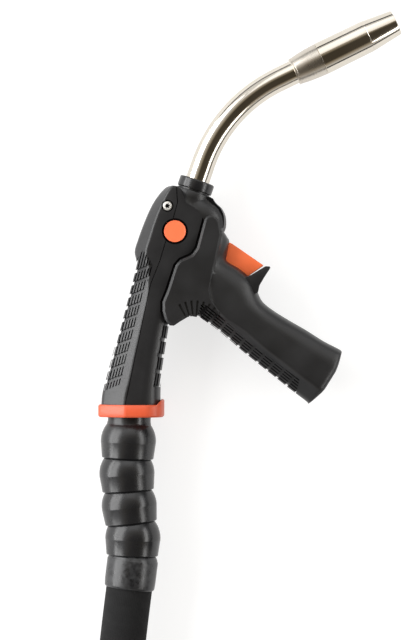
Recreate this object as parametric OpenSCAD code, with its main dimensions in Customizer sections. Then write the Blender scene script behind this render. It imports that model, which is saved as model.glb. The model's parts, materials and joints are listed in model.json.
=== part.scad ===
// MIG welding torch with a swan neck, a pistol grip, a ball-jointed hose guard and its hose.
// The torch lies on its side: X runs to the nozzle side, Y up the handle and Z through its thickness.

/* [Neck] */
// Outside diameter of the bent neck tube
neck_d = 18.4; // [16:0.2:20]
// Wall of the neck tube
neck_wall = 1.6; // [1:0.1:2]
// Radius of the neck's bend, at its centre line
neck_bend_r = 112; // [90:1:130]
// Angle that the neck bends through, in degrees
neck_bend = 45; // [30:1:60]
// Straight neck between the collar and the bend
neck_root_len = 12.7; // [8:0.1:25]
// Straight neck between the bend and the nozzle holder
neck_tip_len = 13.9; // [8:0.1:25]
// Lean of the neck's root from the Y axis, in degrees
neck_lean = 19; // [15:1:23]
// Outside diameter of the copper current tube in the neck
conductor_d = 10.8; // [9:0.1:11.5]
// Bore of the current tube
conductor_bore = 5; // [4.8:0.1:6]
// Outside diameter of the wire liner
liner_d = 4.6; // [3.6:0.1:4.7]
// Bore of the wire liner
liner_bore = 2; // [1.4:0.1:2.4]
// Diameter of the collar at the foot of the neck
collar_d = 27; // [24:0.5:30]
// Height of the collar
collar_h = 8; // [6:0.5:12]

/* [Nozzle] */
// Widest diameter of the gas nozzle
nozzle_d = 25.2; // [24:0.1:28]
// Outside diameter of the nozzle's mouth
nozzle_mouth_d = 19.6; // [18:0.1:22]
// Bore of the nozzle's mouth
nozzle_bore = 16; // [14:0.1:17]
// Length of the parallel part of the nozzle
nozzle_body_len = 39.9; // [30:0.1:50]
// Length of the nozzle's front taper
nozzle_taper_len = 23.5; // [18:0.1:30]
// Diameter of the nozzle holder where it meets the neck
holder_rear_d = 21.4; // [20.8:0.1:24]
// Length of the nozzle holder that shows
holder_len = 22.6; // [18:0.1:30]
// Length of the holder's spigot inside the nozzle
holder_spigot_len = 12; // [8:0.5:16]
// Diameter of the contact tip
tip_d = 8; // [6:0.5:9]
// Length of the contact tip that stands out of its adapter
tip_len = 26; // [20:1:30]
// Distance that the contact tip is set back from the mouth
tip_setback = 7; // [6:0.5:10]
// Wire bore of the contact tip
tip_bore = 1.3; // [1.3:0.1:1.8]

/* [Handle] */
// Wall of the handle's two shells
shell_wall = 2.8; // [2:0.1:3.4]
// Depth of the bands between the tread blocks
tread_depth = 1.4; // [0.8:0.1:1.6]
// Width of the bands between the tread blocks
tread_band = 2.6; // [2:0.1:4]
// Step between the tread blocks along the handle
tread_pitch = 9.7; // [9:0.1:10]
// Diameter of the disc on the handle's side
badge_d = 16.4; // [14:0.2:18]
// Width of the dark recess around the disc
badge_gap = 1.6; // [0.8:0.1:2]
// Diameter of the cover screw's head
screw_head_d = 7.2; // [6:0.2:8]
// Outside diameter of the orange rear ring
ring_d = 50; // [48:0.5:54]
// Height of the rear ring
ring_h = 9.5; // [8:0.5:12]
// Wall of the rear ring round its mouth
ring_wall = 6.1; // [5.8:0.1:7]

/* [Pistol grip] */
// Half of the thickness over the saddle plates
saddle_half = 24; // [23.5:0.1:24.8]
// Width of the slot that the trigger runs in
trigger_slot = 15.2; // [13:0.1:16]
// Play of the trigger at each side of its slot
trigger_play = 0.3; // [0.2:0.05:0.6]
// Diameter of the trigger's pin
trigger_pin_d = 3; // [2.5:0.1:4]
// Outside diameter of the trigger's return spring
spring_d = 5.2; // [4:0.1:6]
// Wire of the return spring
spring_wire = 0.6; // [0.4:0.05:0.8]
// Full turns of the return spring
spring_turns = 5; // [4:1:6]

/* [Ball joints] */
// Diameter of each ball
ball_d = 42; // [40:0.2:44]
// Distance between two ball centres
ball_pitch = 24.6; // [24:0.1:27]
// Bore through the balls for the cable
ball_bore = 24; // [20:0.5:26]
// Diameter of the ball head held in the handle
head_d = 39; // [38:0.1:40]
// Diameter of the stem between the handle and the first ball
stem_d = 32.6; // [30:0.2:33]
// Distance from the head's centre to the first ball's centre
stem_len = 29.7; // [28:0.1:32]
// Diameter of the hose cuff
cuff_d = 39.6; // [38:0.2:41]
// Distance from the last ball centre to the cuff's lower face
cuff_len = 14; // [12:0.5:20]

/* [Hose] */
// Outside diameter of the hose in its sleeve
hose_d = 35; // [30:0.5:36]
// Step between two turns of the coil
coil_pitch = 36.5; // [36.5:0.1:40]
// Radius of the coil's innermost turn, at its centre line
coil_inner_r = 143; // [140:0.5:160]
// Height from one layer of the coil to the next
coil_layer = 36; // [36:0.1:40]
// Width of the strap round the coil
strap_w = 22; // [15:1:40]
// Thickness of the strap
strap_t = 1.6; // [1:0.1:2]

/* [Connector] */
// Length of the bend relief behind the connector
boot_len = 84; // [60:1:100]
// Diameter of the connector's shell
plug_shell_d = 41; // [38:0.5:44]
// Length of the connector's shell
plug_shell_len = 30; // [24:1:40]
// Diameter over the union nut's lobes
nut_d = 48; // [46:0.5:52]
// Length of the union nut
nut_len = 24; // [18:1:30]
// Diameter of the connector's insulating insert
insert_d = 32; // [30:0.5:34]
// Diameter of the gas and wire pin
plug_pin_d = 10; // [9:0.1:12]
// Length of the gas and wire pin in front of the insert
plug_pin_len = 26; // [20:1:34]
// Diameter of each spring-loaded control pin
control_pin_d = 4; // [3:0.1:5]
// Travel of the control pins
control_pin_travel = 4; // [2:0.5:5]

/* [Hidden] */
$fn = 72;

// Clearances
running_fit = 0.05;   // radial play of a turning fit
slip_fit = 0.02;      // radial play of pieces pushed together
air = 0.3;            // gap between pieces that only pass each other
collar_gap = 0.8;     // shadow gap under the collar
nest = 0.08;          // step where a straight tube takes in the end of its bend
nest_angle = 0.25;    // how far the bend runs into a straight tube, in degrees
big = 400;            // reach of cutting solids

// Materials' colours
black_satin = [0.10, 0.10, 0.11];
black_tread = [0.07, 0.07, 0.07];
orange = [0.93, 0.33, 0.14];
nickel = [0.72, 0.69, 0.63];
brass = [0.78, 0.62, 0.32];
copper = [0.76, 0.45, 0.32];
steel = [0.75, 0.75, 0.76];
ivory = [0.86, 0.84, 0.78];
sleeve_black = [0.05, 0.05, 0.05];

// Places in the torch's plane, from the middle of the handle's rear end
collar_top = [52.5, 176.5];
badge_at = [35.5, 138];
screw_at = [30, 157];
ring_x = 2.2;
ring_top = 6.3;
ring_bottom = ring_top - ring_h;
ring_lip = 3.7;          // rise of the ring's front over the handle
panel_half = 20.6;       // half of the thickness over the handle's flat sides
badge_sink = 1.7;        // depth of the recess that holds the disc
screw_seat = 17.4;       // floor of the cover screw's pocket above the middle plane
head_at = [1.2, 8];

// ---- Neck and nozzle, along the neck's own line ----
neck_heading = 90 - neck_lean - neck_bend;
nozzle_len = holder_len + nozzle_body_len + nozzle_taper_len;
neck_end_depth = 10;                       // neck tube inside the nozzle holder
neck_foot = 32;                            // neck tube below the collar's top
conductor_beyond = 5;                      // current tube past the holder's rear edge
bend_end = [neck_bend_r * (1 - cos(neck_bend)), neck_root_len + neck_bend_r * sin(neck_bend)];
nozzle_local = bend_end + neck_tip_len * [sin(neck_bend), cos(neck_bend)];
nozzle_start = collar_top + turned(nozzle_local, -neck_lean);
nozzle_dir = [cos(neck_heading), sin(neck_heading)];
mouth_at = nozzle_start + nozzle_len * nozzle_dir;
tip_end = nozzle_len - tip_setback;
tip_start = tip_end - tip_len;
tip_thread_len = 8;
tip_thread_d = tip_d - 2;
adapter_d = 13;
insulator_wall = (neck_d - 2 * neck_wall - conductor_d) / 2 - 2 * slip_fit;
diffuser_start = holder_len + holder_spigot_len + 2;
diffuser_len = 7;
spigot_d = nozzle_d - 3.4;

// ---- Ball chain: each ball leans by its own angle at rest ----
ball_tilt = [-2.5, 4, 6.5, -2.5];
cuff_tilt = -7;
ball_1_at = head_at + stem_len * leaning(ball_tilt[0]);
ball_2_at = ball_1_at + ball_pitch * leaning(ball_tilt[0]);
ball_3_at = ball_2_at + ball_pitch * leaning(ball_tilt[1]);
ball_4_at = ball_3_at + ball_pitch * leaning(ball_tilt[2]);
cuff_at = ball_4_at + ball_pitch * leaning(ball_tilt[3]);
cuff_foot = cuff_at + cuff_len * leaning(cuff_tilt);
ball_top = ball_d * 0.345;                 // height of the cut above a ball's centre
skirt_drop = ball_pitch - ball_d * 0.27;   // lower edge of a ball's skirt below its centre
skirt_d = ball_d * 0.935;

// ---- Frame: middle of the torch's outline, on the bench ----
mid_z = ring_d / 2;
origin_x = (ring_x - ring_d / 2 + mouth_at[0] + nozzle_mouth_d / 2 * nozzle_dir[1]) / 2;
origin_y = (mouth_at[1] + nozzle_mouth_d / 2 * nozzle_dir[0]
            + cuff_foot[1] - cuff_d * 0.46 * abs(sin(cuff_tilt))) / 2;

// ---- Handle sections: back edge x,y, front edge x,y, half depth, crease as a share of the width ----
ring_r = ring_d / 2;
handle_sections = [
  [ring_x - ring_r + 2.3, ring_top, ring_x + ring_r - 2.7, ring_top, ring_r - 3.6, 0.4],
  [ring_x - ring_r + 3.2, 15, ring_x + ring_r - 2.9, 15, ring_r - 4, 0.41],
  [-16.3, 28, 25, 27, 20.5, 0.43],
  [-10.8, 48.5, 27.5, 47, 20.2, 0.425],
  [-4.6, 70, 31.5, 68, 20.2, 0.41],
  [1, 91, 38, 89, 20.3, 0.375],
  [6, 112, 49, 108, 20.5, 0.19],
  [4.8, 122, 56, 118.5, panel_half, 0.168],
  [7.4, 131.5, 63, 127.5, panel_half, 0.154],
  [11.4, 142.5, 72, 137, panel_half, 0.13],
  [16.3, 154, 73.6, 147, panel_half, 0.125],
  [21.5, 163, 71, 154.5, panel_half, 0.12],
  [28, 170.4, 66.8, 158.6, 20.4, 0.09],
  [33, 172.2, 64.5, 162.2, 20, 0.05]
];
// Profile of a moulded section from its back to its front: share across, share of the depth, radius
handle_side = [[0, 0.4, 3], [0, 1, 1.6], [0.76, 1, 6], [0.94, 0.82, 6], [1, 0.42, 6]];
grip_side = [[0, 0.36, 4], [0, 1, 2.4], [0.78, 0.85, 6], [0.95, 0.64, 6], [1, 0.3, 5]];
// The flat panel ends along this edge, and the rounder head rises behind it to the neck
panel_edge = [
  [30, 181], [34, 173], [36.6, 172.2], [39.6, 169.2], [42, 164.2], [44.2, 158.6], [49.4, 155.6],
  [54.6, 151.4], [56.6, 147], [60, 140], [100, 140], [100, 190]
];
panel_shoulder = 11;     // height at which the panel's edge runs into the head
head_sections = [
  [12, 130.6, 61.5, 127.9, 19, 3.2],
  [15.5, 141.4, 72.6, 136.8, 18.8, 3],
  [20, 152.6, 74.2, 146.8, 18.2, 2.8],
  [25, 161.8, 71.6, 154.2, 17.2, 2.6],
  [31, 169.2, 67.4, 158.3, 15.6, 2.4],
  [37.6, 172.3, 62.8, 163.5, 14, 2.1]
];
throat_profile = [
  [0, -26], [17.5, -26], [16.2, -19], [14.6, -14.5], [13.8, -11.5], [13.4, -collar_h - collar_gap],
  [0, -collar_h - collar_gap]
];
split_line = [
  [-2, -10], [-2, 6.5], [10.5, 66.5], [17, 97], [24, 114.5], [28.5, 129.5],
  [34, 146.5], [37.5, 159], [37, 165], [36, 190]
];
tail_solid = 30;         // solid rear end that holds the ball socket
throat_solid = 24;       // solid throat below the collar that holds the neck
tread_rows = 11;
tread_top = [8, 107.5];
tread_line = turned([0, -1], -15.6);
tread_slope = 20;
ridge_top = [16.5, 104];
front_tread_rows = 4;
front_tread_top = [30.5, 56.5];
front_tread_line = turned([0, -1], -8);
front_tread_pitch = 10.6;

// ---- Pistol grip ----
saddle_outline = [
  [58, 147], [61, 149.5], [65, 149], [68, 147], [69.4, 143.3], [70.9, 134.5], [68.2, 122],
  [66.7, 114.4], [64.8, 106.8], [63.3, 98.4], [62.5, 92.3], [63.7, 86.3], [67.6, 80.2], [70.6, 76],
  [66, 70], [62, 67.4], [54.5, 72], [46.5, 73.5], [39, 69], [33, 65], [28.5, 69], [26.3, 77],
  [26.3, 84], [30, 93], [36, 111.5], [39.5, 115.5], [48.5, 119.5], [52, 124.5], [53.8, 131]
];
saddle_steps = [[0, 21.4], [0.7, 22.5], [1.4, 23.4], [2.2, saddle_half]];
grip_sections = [
  [136.5, 6.6, 161.6, 45.2, 15, 0.3],
  [135, 8.6, 160.8, 47.6, 17.6, 0.28],
  [122.5, 18, 148.5, 54, 19, 0.29],
  [107.5, 29.5, 135, 62.5, 19.8, 0.3],
  [92.5, 41.5, 122, 70, 20.8, 0.31],
  [77, 55, 110, 77.5, 22, 0.32],
  [62, 67, 102, 84, 23.4, 0.28],
  [50, 74, 98, 91.5, 23.6, 0.34],
  [38, 82, 94, 101, 23.6, 0.44],
  [32, 95, 84, 109.5, 23.4, 0.58],
  [39, 112, 74, 115.6, 23, 0.66]
];
nose_outline = [[55, 117], [55, 136], [69.5, 139], [71, 136.5], [77, 131], [76, 126.5], [73.9, 115.5]];
spur_outline = [
  [92.6, 104.2], [103.8, 111], [107.3, 110.8], [107.6, 109.6], [103, 102.6], [99.4, 96.4],
  [98.2, 91], [88, 88], [80, 100]
];
spur_half = 11;
grip_screw_places = [[66, 84], [102, 60], [138, 34]];
lead_channel = [
  [76, 97], [71, 88], [58, 86.5], [44, 92], [33, 94], [33, 101], [46, 101], [60, 95], [69, 97]
];
lead_channel_half = 3.4;
cable_d = 15;
cable_points = [[19, 86], [10, 60], [4, 44]];
block_d = 16;
block_len = 26;
block_hex = 20;
block_hex_h = 12;
grip_tread_rows = 9;
grip_tread_top = [63.4, 70.3];
grip_tread_line = turned([1, 0], -40.3);
grip_tread_pitch = 9.4;
grip_tread_reach = 6.5;
grip_tread_gap = 2.2;
grip_screw_d = 3;
grip_screw_len = 22;
grip_screw_head = 14;    // depth of the screw heads below the middle plane

// ---- Trigger, in the frame of the rim that it comes out of ----
rim_at = [74.1, 115.1];
rim_angle = -31.1;
trigger_pivot = [-8.5, 9.5];
trigger_outline = [
  [-11.5, 6.5], [-11.5, 12], [-8, 13], [-2.4, 13.6], [26.3, 11.8], [21, 0], [20.4, -7], [0.6, -7],
  [-1.8, 0], [-5, 6]
];
pocket_outline = [
  [-14, 4], [-14, 14.2], [-5, 14.2], [0, 30], [40, 30], [28.9, 13], [22, 0.4], [21.6, -9],
  [21.6, -17], [1.4, -17], [-3.6, -9], [-3.6, 1], [-6.4, 4]
];
pocket_floor = -17;
trigger_back = -7;
switch_size = [11, 6, 9];
switch_at = [14, pocket_floor + 3];
plunger_d = 2.6;
plunger_len = 5.2;
spring_at = 4.2;

// ---- Hose route and coil ----
strap_air = 0.9;         // the strap is flat and the turns under it are curved
strand_z = hose_d / 2 + strap_t + strap_air - mid_z;
run_points = [
  [-8, -210, -1], [-12, -255, -3], [-15, -300, -5], [-16, -325, strand_z]
];
coil_entry = [-16, -380];
coil_turns_in = 1.75;
coil_turns_out = 0.75;
coil_at = [coil_entry[0] + coil_radius(coil_turns_in), coil_entry[1]];
coil_phase = 180 + 360 * coil_turns_in;
coil_rings = 24;
coil_sides = 6;
plug_rise = 2.2;
tail_foot = coil_point(coil_turns_out);
tail_dir = [0, cos(plug_rise), sin(plug_rise)];
tail_end = tail_foot + hose_d * tail_dir;
nut_at = boot_len + plug_shell_len;
nut_lip = 5;
insert_len = nut_len + 10;
insert_face = nut_at + insert_len;

// ---- Functions ----
function turned(p, a) = [p[0] * cos(a) - p[1] * sin(a), p[0] * sin(a) + p[1] * cos(a)];
function leaning(a) = [sin(a), -cos(a)];
function unit(v) = v / norm(v);
function power(c, e) = sign(c) * pow(abs(c), e);

// Smooth curve through rows of numbers, at row i and a share t of the way to the next
function smooth_row(rows, i, t) =
  let (last = len(rows) - 1,
       a = rows[max(i - 1, 0)], b = rows[i], c = rows[min(i + 1, last)], d = rows[min(i + 2, last)])
  b + t / 2 * ((c - a) + t * ((2 * a - 5 * b + 4 * c - d) + t * (3 * b - a - 3 * c + d)));

// Three points of the short arc that rounds a corner
function arc_corner(before, here, after, r) =
  let (back = min(r, 0.45 * norm(before - here)), ahead = min(r, 0.45 * norm(after - here)),
       reach = min(back, ahead), e = here + reach * unit(before - here), f = here + reach * unit(after - here))
  [e, (e + 2 * here + f) / 4, f];

// Closed ring of a loft between two edge points, with the creases of a moulded shell
function crease_ring(row, side, grow) =
  let (p = [row[0], row[1]], q = [row[2], row[3]], along = unit(q - p), across = norm(q - p),
       half = [for (i = [0:len(side) - 1]) [(i == 1 ? row[5] : side[i][0]) * across, side[i][1] * row[4]]],
       last = len(half) - 1, n = 2 * len(half),
       corners = [for (i = [0:n - 1]) i <= last ? [half[i][0], -half[i][1]] : half[n - 1 - i]],
       stretch = [1 + 2 * grow / across, 1 + grow / row[4]])
  [for (i = [0:n - 1])
    for (c = arc_corner(corners[(i + n - 1) % n], corners[i], corners[(i + 1) % n], side[i <= last ? i : n - 1 - i][2]))
      let (x = across / 2 + (c[0] - across / 2) * stretch[0])
      [p[0] + along[0] * x, p[1] + along[1] * x, c[1] * stretch[1]]];

// Closed ring of a loft between two edge points: an oval with square shoulders
function oval_ring(row, grow, sides) =
  let (p = [row[0], row[1]], q = [row[2], row[3]], mid = (p + q) / 2, along = unit(q - p),
       a = norm(q - p) / 2 + grow, b = row[4] + grow, e = 2 / row[5])
  [for (k = [0:sides - 1])
    let (ang = 360 * k / sides, x = a * power(cos(ang), e))
    [mid[0] + along[0] * x, mid[1] + along[1] * x, b * power(sin(ang), e)]];

// Ring of a swept tube, square to its line
function tube_ring(p, dir, up, r, sides) =
  let (side = unit(cross(dir, up)), top = cross(side, dir))
  [for (k = [0:sides - 1])
    p + r * (cos(360 * k / sides + 90) * side + sin(360 * k / sides + 90) * top)];

function line_dir(pts, i) = unit(pts[min(i + 1, len(pts) - 1)] - pts[max(i - 1, 0)]);

// A coil spirals in on the bench and out again one layer up, and climbs around the reversal
function coil_radius(t) = coil_inner_r + coil_pitch * (sqrt(t * t + 0.0016) - 0.04 + 0.0008);
function coil_climb(t) = t < -0.25 ? 0 : t > 0.25 ? 1 : (1 + sin(360 * t)) / 2;
function coil_point(t) = [
  coil_at[0] + coil_radius(t) * cos(coil_phase + 360 * t),
  coil_at[1] + coil_radius(t) * sin(coil_phase + 360 * t),
  strand_z + coil_layer * coil_climb(t)
];
coil_steps = round((coil_turns_in + coil_turns_out) * coil_rings);
coil_line = [for (i = [0:coil_steps]) coil_point(-coil_turns_in + i / coil_rings)];
coil_path = concat([[coil_entry[0], coil_entry[1] + hose_d, strand_z]], coil_line, [tail_end]);
coil_gap = min([for (i = [0:coil_steps - coil_rings / 2])
                for (j = [i + coil_rings / 2:coil_steps])
                norm(coil_line[i] - coil_line[j]) - hose_d]);
run_path = concat(
  [[cuff_foot[0], cuff_foot[1], 0],
   [cuff_foot[0] + hose_d * leaning(cuff_tilt)[0], cuff_foot[1] + hose_d * leaning(cuff_tilt)[1], 0]],
  run_points,
  [[coil_entry[0], coil_entry[1] + hose_d, strand_z]]);
function path_length(pts, i = 1) = i >= len(pts) ? 0 : norm(pts[i] - pts[i - 1]) + path_length(pts, i + 1);
echo(coil_least_gap = coil_gap);
echo(hose_length = path_length(run_path) + path_length(coil_path));

// ---- Building blocks ----
module placed() translate([-origin_x, -origin_y, mid_z]) children();

module skin(rings, sides) {
  count = len(rings);
  points = [for (ring = rings) each ring];
  walls = [for (j = [0:count - 2]) for (k = [0:sides - 1])
    let (a = j * sides + k, b = j * sides + (k + 1) % sides)
    each [[a, b, b + sides], [a, b + sides, a + sides]]];
  foot = [for (k = [1:sides - 2]) [0, k + 1, k]];
  head = [for (k = [1:sides - 2]) let (s = (count - 1) * sides) [s, s + k, s + k + 1]];
  polyhedron(points, concat(walls, foot, head));
}

// Rows of numbers on the smooth curve through the given rows
function rows_between(rows, steps) = concat(
  [for (i = [0:len(rows) - 2]) for (k = [0:steps - 1]) smooth_row(rows, i, k / steps)], [rows[len(rows) - 1]]);

module crease_loft(rows, side, grow = 0, steps = 2)
  skin([for (row = rows_between(rows, steps)) crease_ring(row, side, grow)], 6 * len(side));

oval_sides = 28;
module oval_loft(rows, grow = 0, steps = 2)
  skin([for (row = rows_between(rows, steps)) oval_ring(row, grow, oval_sides)], oval_sides);

module tube(pts, d, sides, up = [0, 0, 1]) {
  skin([for (i = [0:len(pts) - 1])
    tube_ring(pts[i], i == 0 ? unit(pts[1] - pts[0]) : i == len(pts) - 1 ? unit(pts[i] - pts[i - 1])
              : line_dir(pts, i), up, d / 2, sides)], sides);
}

// A turned piece along +Y, from a profile of [radius, height] points
module turned_piece() rotate([-90, 0, 0]) rotate_extrude() children();

module rod(d, from, to) translate([0, from, 0]) rotate([-90, 0, 0]) cylinder(d = d, h = to - from);

module plate(outline, half) translate([0, 0, -half]) linear_extrude(2 * half) polygon(outline);

// ---- Frames of the sub-assemblies ----
module neck_frame() placed() translate([collar_top[0], collar_top[1], 0]) rotate(-neck_lean) children();

module nozzle_frame()
  placed() translate([nozzle_start[0], nozzle_start[1], 0]) rotate(neck_heading - 90) children();

module trigger_frame() placed() translate([rim_at[0], rim_at[1], 0]) rotate(rim_angle) children();

module ball_frame(at, tilt) placed() translate([at[0], at[1], 0]) rotate(tilt) children();

module plug_frame()
  placed() translate(tail_end) rotate([plug_rise, 0, 0]) children();

// ---- Nozzle end ----
module nozzle_profile() {
  front = holder_len + nozzle_body_len;
  difference() {
    polygon([
      [0, holder_len], [nozzle_d / 2, holder_len], [nozzle_d / 2 - 0.3, front],
      [nozzle_mouth_d / 2, nozzle_len - 0.8], [nozzle_mouth_d / 2 - 0.6, nozzle_len], [0, nozzle_len]
    ]);
    polygon([
      [0, holder_len - 1], [spigot_d / 2 + slip_fit, holder_len - 1],
      [spigot_d / 2 + slip_fit, diffuser_start + diffuser_len], [nozzle_bore / 2 + 1.6, front],
      [nozzle_bore / 2, nozzle_len - 12], [nozzle_bore / 2, nozzle_len + 1], [0, nozzle_len + 1]
    ]);
  }
}

module gas_nozzle() color(nickel) nozzle_frame() turned_piece() nozzle_profile();

module nozzle_holder() color(nickel) nozzle_frame() turned_piece() difference() {
  union() {
    polygon([
      [0, 0], [holder_rear_d / 2 - 0.4, 0], [holder_rear_d / 2, 0.6],
      [nozzle_d / 2 - 0.1, holder_len], [0, holder_len]
    ]);
    translate([0, holder_len - 1]) square([spigot_d / 2, holder_spigot_len + 1]);
  }
  translate([0, -1]) square([neck_d / 2 + slip_fit, neck_end_depth + 1]);
  square([adapter_d / 2 + 1.4, diffuser_start]);
}

module contact_tip() color(copper) nozzle_frame() turned_piece() difference() {
  union() {
    translate([0, tip_start - tip_thread_len]) square([tip_thread_d / 2, tip_thread_len]);
    polygon([
      [0, tip_start], [tip_d / 2, tip_start], [tip_d / 2, tip_end - 7],
      [tip_d / 2 - 1.2, tip_end], [0, tip_end]
    ]);
  }
  translate([0, tip_start - tip_thread_len - 1]) square([tip_bore / 2, tip_len + tip_thread_len + 2]);
}

module tip_adapter() color(brass) nozzle_frame() difference() {
  turned_piece() difference() {
    union() {
      translate([0, -6]) square([conductor_bore / 2 - slip_fit, 18]);
      translate([0, 6]) square([adapter_d / 2, tip_start - 12]);
      translate([0, tip_start - 7]) square([adapter_d / 2 - 1, 7]);
    }
    translate([0, -7]) square([liner_bore / 2 + 0.2, tip_start + 8]);
    translate([0, tip_start - tip_thread_len - 0.4]) square([tip_thread_d / 2 + slip_fit, tip_thread_len + 1]);
  }
  for (a = [0:60:300]) rotate([0, a, 0]) translate([0, diffuser_start - 5, 0]) cylinder(d = 2.4, h = adapter_d);
}

module gas_diffuser() color(ivory) nozzle_frame() difference() {
  translate([0, diffuser_start, 0]) turned_piece() difference() {
    square([spigot_d / 2, diffuser_len]);
    translate([0, -1]) square([adapter_d / 2 + slip_fit, diffuser_len + 2]);
  }
  for (a = [0:45:315]) rotate([0, a, 0]) translate([0, 0, 8.8])
    rod(2, diffuser_start - 1, diffuser_start + diffuser_len + 1);
}

// ---- Neck ----
module pipe(outside, inside, from, to) difference() {
  rod(outside, from, to);
  rod(inside, from - 1, to + 1);
}

// The ends of the bend nest in the walls of the straight tubes, so that the three runs make one tube
module neck_pipe(outside, inside, below, beyond) neck_frame() {
  pipe(outside, inside, -below, neck_root_len);
  translate([neck_bend_r, neck_root_len, 0]) rotate(180 - neck_bend - nest_angle)
    rotate_extrude(angle = neck_bend + 2 * nest_angle) translate([neck_bend_r, 0]) difference() {
      circle(d = outside - 2 * nest);
      circle(d = inside + 2 * nest);
    }
  translate([bend_end[0], bend_end[1], 0]) rotate(-neck_bend) pipe(outside, inside, 0, neck_tip_len + beyond);
}

module neck_tube() color(nickel) neck_pipe(neck_d, neck_d - 2 * neck_wall, neck_foot, neck_end_depth);

module neck_insulator() color(ivory)
  neck_pipe(neck_d - 2 * neck_wall - 2 * slip_fit, conductor_d + 2 * slip_fit, neck_foot, conductor_beyond);

module neck_conductor() color(copper) neck_pipe(conductor_d, conductor_bore, neck_foot + 10, conductor_beyond);

module wire_liner() color(steel) neck_pipe(liner_d, liner_bore, neck_foot + 8, -7);

module neck_collar() color(black_satin) neck_frame() translate([0, -collar_h, 0]) turned_piece() difference() {
  polygon([
    [0, 0], [collar_d / 2 - 0.5, 0], [collar_d / 2, 0.5], [collar_d / 2, collar_h - 0.8],
    [collar_d / 2 - 0.8, collar_h], [0, collar_h]
  ]);
  translate([0, -1]) square([neck_d / 2 + slip_fit, collar_h + 2]);
}

// ---- Handle ----
// What the flat panels leave free round the head, on both sides
module over_panel(grow = 0) for (side = [0, 1]) mirror([0, 0, side]) translate([0, 0, panel_shoulder + grow])
  linear_extrude(big) offset(delta = -grow) polygon(panel_edge);

// The handle's loft, between two of its rows
module handle_loft(grow, steps, from, to) {
  rows = rows_between(handle_sections, steps);
  skin([for (i = [from * steps:to * steps]) crease_ring(rows[i], handle_side, grow)], 6 * len(handle_side));
}

module handle_form() {
  difference() {
    handle_loft(0, 2, 0, len(handle_sections) - 1);
    over_panel();
  }
  oval_loft(head_sections);
  translate([collar_top[0], collar_top[1], 0]) rotate(-neck_lean) turned_piece() polygon(throat_profile);
}

module neck_bore(d) translate([collar_top[0], collar_top[1], 0]) rotate(-neck_lean) rod(d, -neck_foot - 40, 5);

module above_throat(depth)
  translate([collar_top[0], collar_top[1], 0]) rotate(-neck_lean)
    translate([-big, -depth, -big]) cube(2 * big);

module handle_cavity() difference() {
  handle_loft(-shell_wall, 1, 2, 11);
  over_panel(-shell_wall);
  translate([-big, tail_solid - 2 * big, -big]) cube(2 * big);
  above_throat(collar_h + collar_gap + throat_solid);
}

module tail_socket() {
  translate([head_at[0], head_at[1], 0]) turned_piece() {
    intersection() {
      circle(d = head_d + 2 * running_fit);
      translate([0, -big]) square([big, 2 * big]);
    }
    translate([0, -30]) square([socket_mouth_d() / 2, 30]);
    square([ball_bore / 2 + 1, tail_solid]);
  }
}

function socket_mouth_d() = ring_d - 2 * ring_wall;

module tread_bands(top, line, pitch, rows, slope, reach, band)
  for (i = [0:rows - 1]) {
    at = top + i * pitch * line;
    translate([at[0], at[1], -big / 2]) rotate(slope) translate([-reach, -band / 2, 0]) cube([2 * reach, band, big]);
  }

module back_treads() difference() {
  intersection() {
    tread_bands(tread_top, tread_line, tread_pitch, tread_rows - 1, tread_slope, 26, tread_band);
    linear_extrude(2 * big, center = true)
      polygon([[-60, 0], [-60, 130], ridge_top + [0, 12], ridge_top, [2.5, 18], [0, 0]]);
  }
  handle_loft(-tread_depth, 1, 0, 8);
}

module front_treads() difference() {
  intersection() {
    tread_bands(front_tread_top, front_tread_line, front_tread_pitch, front_tread_rows, -14, 20, tread_band);
    linear_extrude(2 * big, center = true) polygon([[24, 80], [60, 80], [60, 0], [18, 0]]);
  }
  handle_loft(-tread_depth, 1, 0, 8);
}

module handle_shell() difference() {
  handle_form();
  handle_cavity();
  above_throat(collar_h + collar_gap);
  neck_bore(neck_d + 2 * running_fit);
  tail_socket();
  translate([badge_at[0], badge_at[1], panel_half - badge_sink]) cylinder(d = badge_d + 2 * badge_gap, h = 10);
}

module behind_split(beyond) linear_extrude(2 * big, center = true)
  polygon(concat(split_line, [[beyond, split_line[len(split_line) - 1][1]], [beyond, split_line[0][1]]]));

module screw_boss(d) translate([screw_at[0], screw_at[1], -17.5]) cylinder(d = d, h = 35);

module rear_cover() color(black_satin) placed() difference() {
  union() {
    intersection() {
      handle_shell();
      behind_split(-big);
    }
    screw_boss(screw_head_d + 1.6);
  }
  back_treads();
  neck_bore(neck_d + 2 * running_fit);
  translate([screw_at[0], screw_at[1], screw_seat]) cylinder(d = screw_head_d + 1.6, h = 20);
  translate([screw_at[0], screw_at[1], -12]) cylinder(d = screw_head_d / 2 + 2 * slip_fit, h = 40);
}

module front_shell() color(black_satin) placed() difference() {
  intersection() {
    handle_shell();
    behind_split(big);
  }
  front_treads();
  plate(lead_channel, lead_channel_half);
  screw_boss(screw_head_d + 1.6 + 2 * air);
}

module badge_disc() color(orange) placed()
  translate([badge_at[0], badge_at[1], panel_half - badge_sink]) cylinder(d = badge_d, h = 1.6);

module cover_screw() color(steel) placed() translate([screw_at[0], screw_at[1], screw_seat]) difference() {
  union() {
    cylinder(d = screw_head_d, h = 2.2);
    translate([0, 0, -28]) cylinder(d = screw_head_d / 2, h = 28.5);
  }
  translate([0, 0, 0.9]) linear_extrude(2) for (a = [0, 60, 120]) rotate(a) square([3.6, 1.2], center = true);
}

module power_block() color(brass) neck_frame() difference() {
  union() {
    rod(block_d, -neck_foot - block_len, -neck_foot - 0.2);
    translate([0, -neck_foot - 20, 0]) rotate([-90, 30, 0]) cylinder(d = block_hex, h = block_hex_h, $fn = 6);
  }
  rod(conductor_d + 2 * running_fit, -neck_foot - 11, 0);
  rod(liner_d + 2 * running_fit, -neck_foot - 30, 0);
}

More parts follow.
